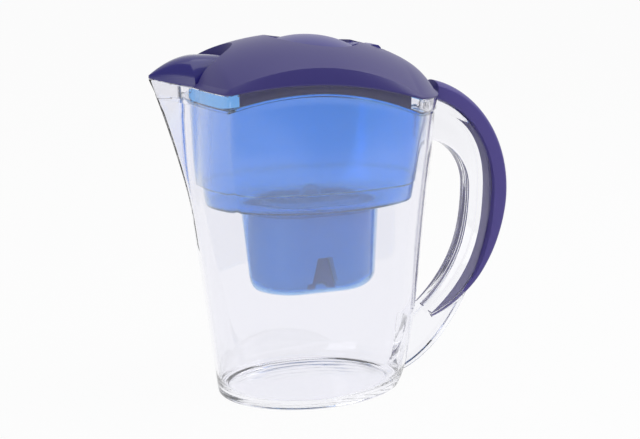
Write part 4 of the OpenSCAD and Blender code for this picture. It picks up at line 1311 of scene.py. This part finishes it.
FINISHES: dict[str, Finish | ClearFinish] = {
    # Polished clear resin with a breath of lavender: nearly nothing face on, grey at its edges
    "clear_resin": ClearFinish("clear_san_polished", "F8F8FC", 0.02, 1.57, 0.05, 0.0),
    # Blue tinted resin: each wall deepens the blue of what is seen through it
    "blue_resin": ClearFinish("blue_tinted_san_polished", "7CC2FF", 0.13, 1.57, 0.05, 1.0),
    # Soft-touch grip: a broad dull sheen with a fine tooth that stops reflections
    "grip_skin": Finish("grip_elastomer_satin", "584D9C", 0.48, 1.5, Pattern.GRAIN, 0.5, 0.02),
    # Core behind the clear frame: greyer than the grip, plain moulded satin
    "grip_core_plastic": Finish("core_abs_satin", "6F699C", 0.4, 1.53, Pattern.GRAIN, 0.7, 0.015),
    # Saddle seen dimly through the well: a muted blue grey, darkened partly as painted shade of the
    # cartridge's tunnel over it
    "saddle_plastic": Finish("saddle_abs_satin", "5E5A94", 0.4, 1.53, Pattern.GRAIN, 0.6, 0.015),
    # Lid: deep indigo with a satin skin that spreads each highlight wide
    "lid_plastic": Finish("lid_abs_satin", "3D3580", 0.38, 1.53, Pattern.GRAIN, 0.45, 0.012),
    # Inner frame: darker and smoother; its dark colour is partly painted shade, the shade under the
    # lid's rim, so it shows as a dark band behind the collar
    "frame_plastic": Finish("frame_abs_polished", "1E1A60", 0.3, 1.53, Pattern.GRAIN, 0.9, 0.006),
    # Fill flap: a shade lighter than the lid, a painted light that makes the pillow stand out of
    # its dish as its lit crown does
    "fill_flap_plastic": Finish("fill_flap_abs_satin", "413C92", 0.34, 1.53, Pattern.GRAIN, 0.5,
                                0.01),
    # Spout flap: glossier and bluer, with crisp small highlights
    "spout_flap_plastic": Finish("spout_flap_abs_polished", "322D82", 0.18, 1.53, Pattern.GRAIN,
                                 0.9, 0.004, coat=0.3),
    # Cartridge shell: milky white polypropylene, faintly waxy
    "cartridge_plastic": Finish("cartridge_polypropylene_satin", "F4F6FC", 0.45, 1.49,
                                Pattern.GRAIN, 0.6, 0.01),
    # Seal: a pale matt ring without highlights
    "seal_rubber": Finish("seal_silicone_matt", "C2C8D2", 0.7, 1.43, Pattern.GRAIN, 0.4, 0.02),
    # Felt: short fibres that scatter light and leave no gloss
    "felt": Finish("pressed_white_felt", "EFEDE6", 0.95, 1.45, Pattern.GRAIN, 0.3, 0.12, shade=0.2),
    # Mesh: fine crossed threads with small shadows between them
    "mesh": Finish("polyester_mesh_woven", "E4E4E2", 0.6, 1.5, Pattern.WEAVE, 0.5, 0.1, shade=0.45),
    # Resin: amber beads about half a millimetre wide
    "resin_beads": Finish("amber_exchange_beads", "CDA45F", 0.35, 1.55, Pattern.CELLS, 0.6, 0.2,
                          shade=0.3),
    # Carbon: black angular granules with dull sparkle
    "carbon": Finish("carbon_granules", "1D1D20", 0.6, 1.6, Pattern.CELLS, 1.2, 0.4, shade=0.5),
    # Pins: ground steel with fine lines along their length
    "pin_steel": Finish("ground_steel", "B9BBC0", 0.28, 2.5, Pattern.BRUSHED, 0.08, 0.002,
                        metallic=1.0),
}


# Studio: the camera, the lamps, the world and the floor


@dataclass
class Studio:
    """Camera, lamps, world and floor, as the photograph was taken."""

    azimuth: float = -21.0
    elevation: float = 13.2
    distance: float = 1018.0
    lens: float = 74.36
    target: Point = (10.7, 0.0, 132.6)
    lamp_distance: float = 1500.0
    world_edge: tuple[float, float] = (-0.95, -0.6)
    table_edge: tuple[float, float] = (-0.98, -0.66)
    shadow_share: float = 0.05

    def away(self, azimuth: float, elevation: float) -> Vector:
        """The direction from the object to something at an azimuth and elevation."""
        a, e = math.radians(azimuth), math.radians(elevation)
        return Vector((math.sin(a) * math.cos(e), -math.cos(a) * math.cos(e), math.sin(e)))

    def aimed(self, thing: bpy.types.Object, azimuth: float, elevation: float,
              distance: float) -> None:
        """Puts a camera or lamp at a distance and turns it to the target.

        Args:
            thing: the camera or lamp.
            azimuth: degrees round the pitcher.
            elevation: degrees above the table.
            distance: millimetres from the target.
        """
        back = self.away(azimuth, elevation)
        thing.location = place(self.target) + back * distance * MM
        thing.rotation_euler = back.to_track_quat("Z", "Y").to_euler()
        bpy.context.scene.collection.objects.link(thing)

    def camera(self) -> None:
        """Sets up the photograph's camera."""
        data = bpy.data.cameras.new("photo_camera")
        data.lens, data.sensor_width = self.lens, 36.0
        camera = bpy.data.objects.new("photo_camera", data)
        self.aimed(camera, self.azimuth, self.elevation, self.distance)
        bpy.context.scene.camera = camera

    def lamp(self, name: str, azimuth: float, elevation: float, size: float, watts: float) -> None:
        """Adds one soft square lamp.

        Args:
            name: name of the lamp.
            azimuth: degrees round the pitcher.
            elevation: degrees above the table.
            size: side in metres.
            watts: its power.
        """
        data = bpy.data.lights.new(name, "AREA")
        data.shape, data.size, data.energy = "SQUARE", size, watts
        self.aimed(bpy.data.objects.new(name, data), azimuth, elevation, self.lamp_distance)

    def white_share(self, graph: Graph, at: bpy.types.NodeSocket, dark: float,
                    bright: float) -> bpy.types.NodeSocket:
        """How white a place shows: fully to the camera.

        Gloss and clear plastic show the lit table and the backdrop too, but not the dark
        studio in front of the table, whose edge the jug's side reflects as in the photo.

        Args:
            graph: the node tree to add to.
            at: where the place lies, from front to back.
            dark: the value of `at` up to which gloss sees the dark studio.
            bright: the value of `at` from which gloss sees white.

        Returns:
            The share of plain white.
        """
        path = graph.add("ShaderNodeLightPath")
        lit = graph.add("ShaderNodeMapRange", {0: at, 1: dark, 2: bright},
                        interpolation_type="SMOOTHSTEP").outputs[0]
        bent = graph.add("ShaderNodeMath", {0: path.outputs["Is Glossy Ray"],
                                            1: path.outputs["Is Transmission Ray"]},
                         operation="MAXIMUM").outputs[0]
        bent = graph.add("ShaderNodeMath", {0: bent, 1: lit}, operation="MULTIPLY").outputs[0]
        return graph.add("ShaderNodeMath", {0: bent, 1: path.outputs["Is Camera Ray"]},
                         operation="MAXIMUM").outputs[0]

    def white_for_camera(self, graph: Graph, plain: bpy.types.NodeSocket) -> bpy.types.NodeSocket:
        """Shows plain white to the camera, to gloss and through clear plastic.

        Args:
            graph: the node tree to add to.
            plain: the shader that lights the pitcher.

        Returns:
            The mixed shader.
        """
        at = graph.add("ShaderNodeTexCoord").outputs["Generated"]
        way = graph.add("ShaderNodeSeparateXYZ", {0: at}).outputs
        behind = graph.add("ShaderNodeMath", {0: way["Y"], 1: way["Z"]},
                           operation="SUBTRACT").outputs[0]
        seen = self.white_share(graph, behind, *self.world_edge)
        white = graph.add("ShaderNodeBackground", {"Color": (1, 1, 1, 1), "Strength": 1.0})
        return graph.add("ShaderNodeMixShader", {0: seen, 1: plain, 2: white.outputs[0]}).outputs[0]

    def world(self) -> None:
        """A pale world that lights softly and shows white."""
        world = bpy.data.worlds.new("studio_world")
        graph = blank(world)
        soft = graph.add("ShaderNodeBackground", {"Color": (0.95, 0.97, 1.0, 1), "Strength": 0.32})
        shown = self.white_for_camera(graph, soft.outputs[0])
        graph.add("ShaderNodeOutputWorld", {"Surface": shown})
        bpy.context.scene.world = world

    def floor(self) -> None:
        """A wide white floor that keeps a faint shadow."""
        mesh = bmesh.new()
        bmesh.ops.create_grid(mesh, x_segments=1, y_segments=1, size=6.0)
        bmesh.ops.translate(mesh, vec=(0, 0, -0.0002), verts=mesh.verts)
        floor = to_object(mesh, "studio_floor")
        made = bpy.data.materials.new("floor_white_matt")
        graph = blank(made)
        matt = graph.add("ShaderNodeBsdfPrincipled", {"Base Color": linear("F4F4F4"),
                                                      "Roughness": 0.9})
        glow = graph.add("ShaderNodeEmission", {"Color": (1, 1, 1, 1), "Strength": 1.0})
        at = graph.add("ShaderNodeTexCoord").outputs["Object"]
        toward = graph.add("ShaderNodeSeparateXYZ", {0: at}).outputs["Y"]
        seen = self.white_share(graph, toward, *self.table_edge)
        share = graph.add("ShaderNodeMath", {0: seen, 1: 1 - self.shadow_share},
                          operation="MULTIPLY").outputs[0]
        mix = graph.add("ShaderNodeMixShader", {0: share, 1: matt.outputs[0], 2: glow.outputs[0]})
        graph.add("ShaderNodeOutputMaterial", {"Surface": mix.outputs[0]})
        floor.data.materials.append(made)

    def build(self) -> None:
        """Sets up everything around the pitcher."""
        self.camera()
        self.world()
        self.floor()
        self.lamp("key_softbox", 75, 48, 0.9, 6.0)
        self.lamp("top_softbox", 20, 82, 1.1, 4.5)
        self.lamp("fill_softbox", -35, 14, 0.9, 4.0)
        scene = bpy.context.scene
        scene.view_settings.view_transform = "Standard"
        scene.cycles.transparent_max_bounces = 32
        scene.cycles.transmission_bounces = 24
        scene.cycles.glossy_bounces = 24
        scene.cycles.max_bounces = 28


def main() -> None:
    """Builds the pieces, gives every node its finish and sets the studio."""
    logging.basicConfig(level=logging.INFO, format="%(name)s: %(message)s")
    slots = {m["slot"]: FINISHES[m["slot"]].build() for m in frame["record"]["materials"]}
    node_slot = {name: node.data.materials[0].name.split(".")[0]
                 for name, node in frame["nodes"].items()}
    bodies = frame["record"]["behaviour"]["bodies"]
    body_of = {n: body for body, names in bodies.items() for n in names}
    for name, node in frame["nodes"].items():
        node.data.materials.clear()
        node.data.materials.append(slots[node_slot[name]])
    handle = Handle()
    for assembly in (handle, Jug(handle), Reservoir(), Lid()):
        for node, piece in assembly.build().items():
            piece.data.materials.clear()
            piece.data.materials.append(slots[node_slot[node]])
            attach(piece, body_of[node])
            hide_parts(node)
            log.info("%s: %d faces for %s", piece.name, len(piece.data.polygons), node)
    Studio().build()


if __name__ == "__main__":
    main()
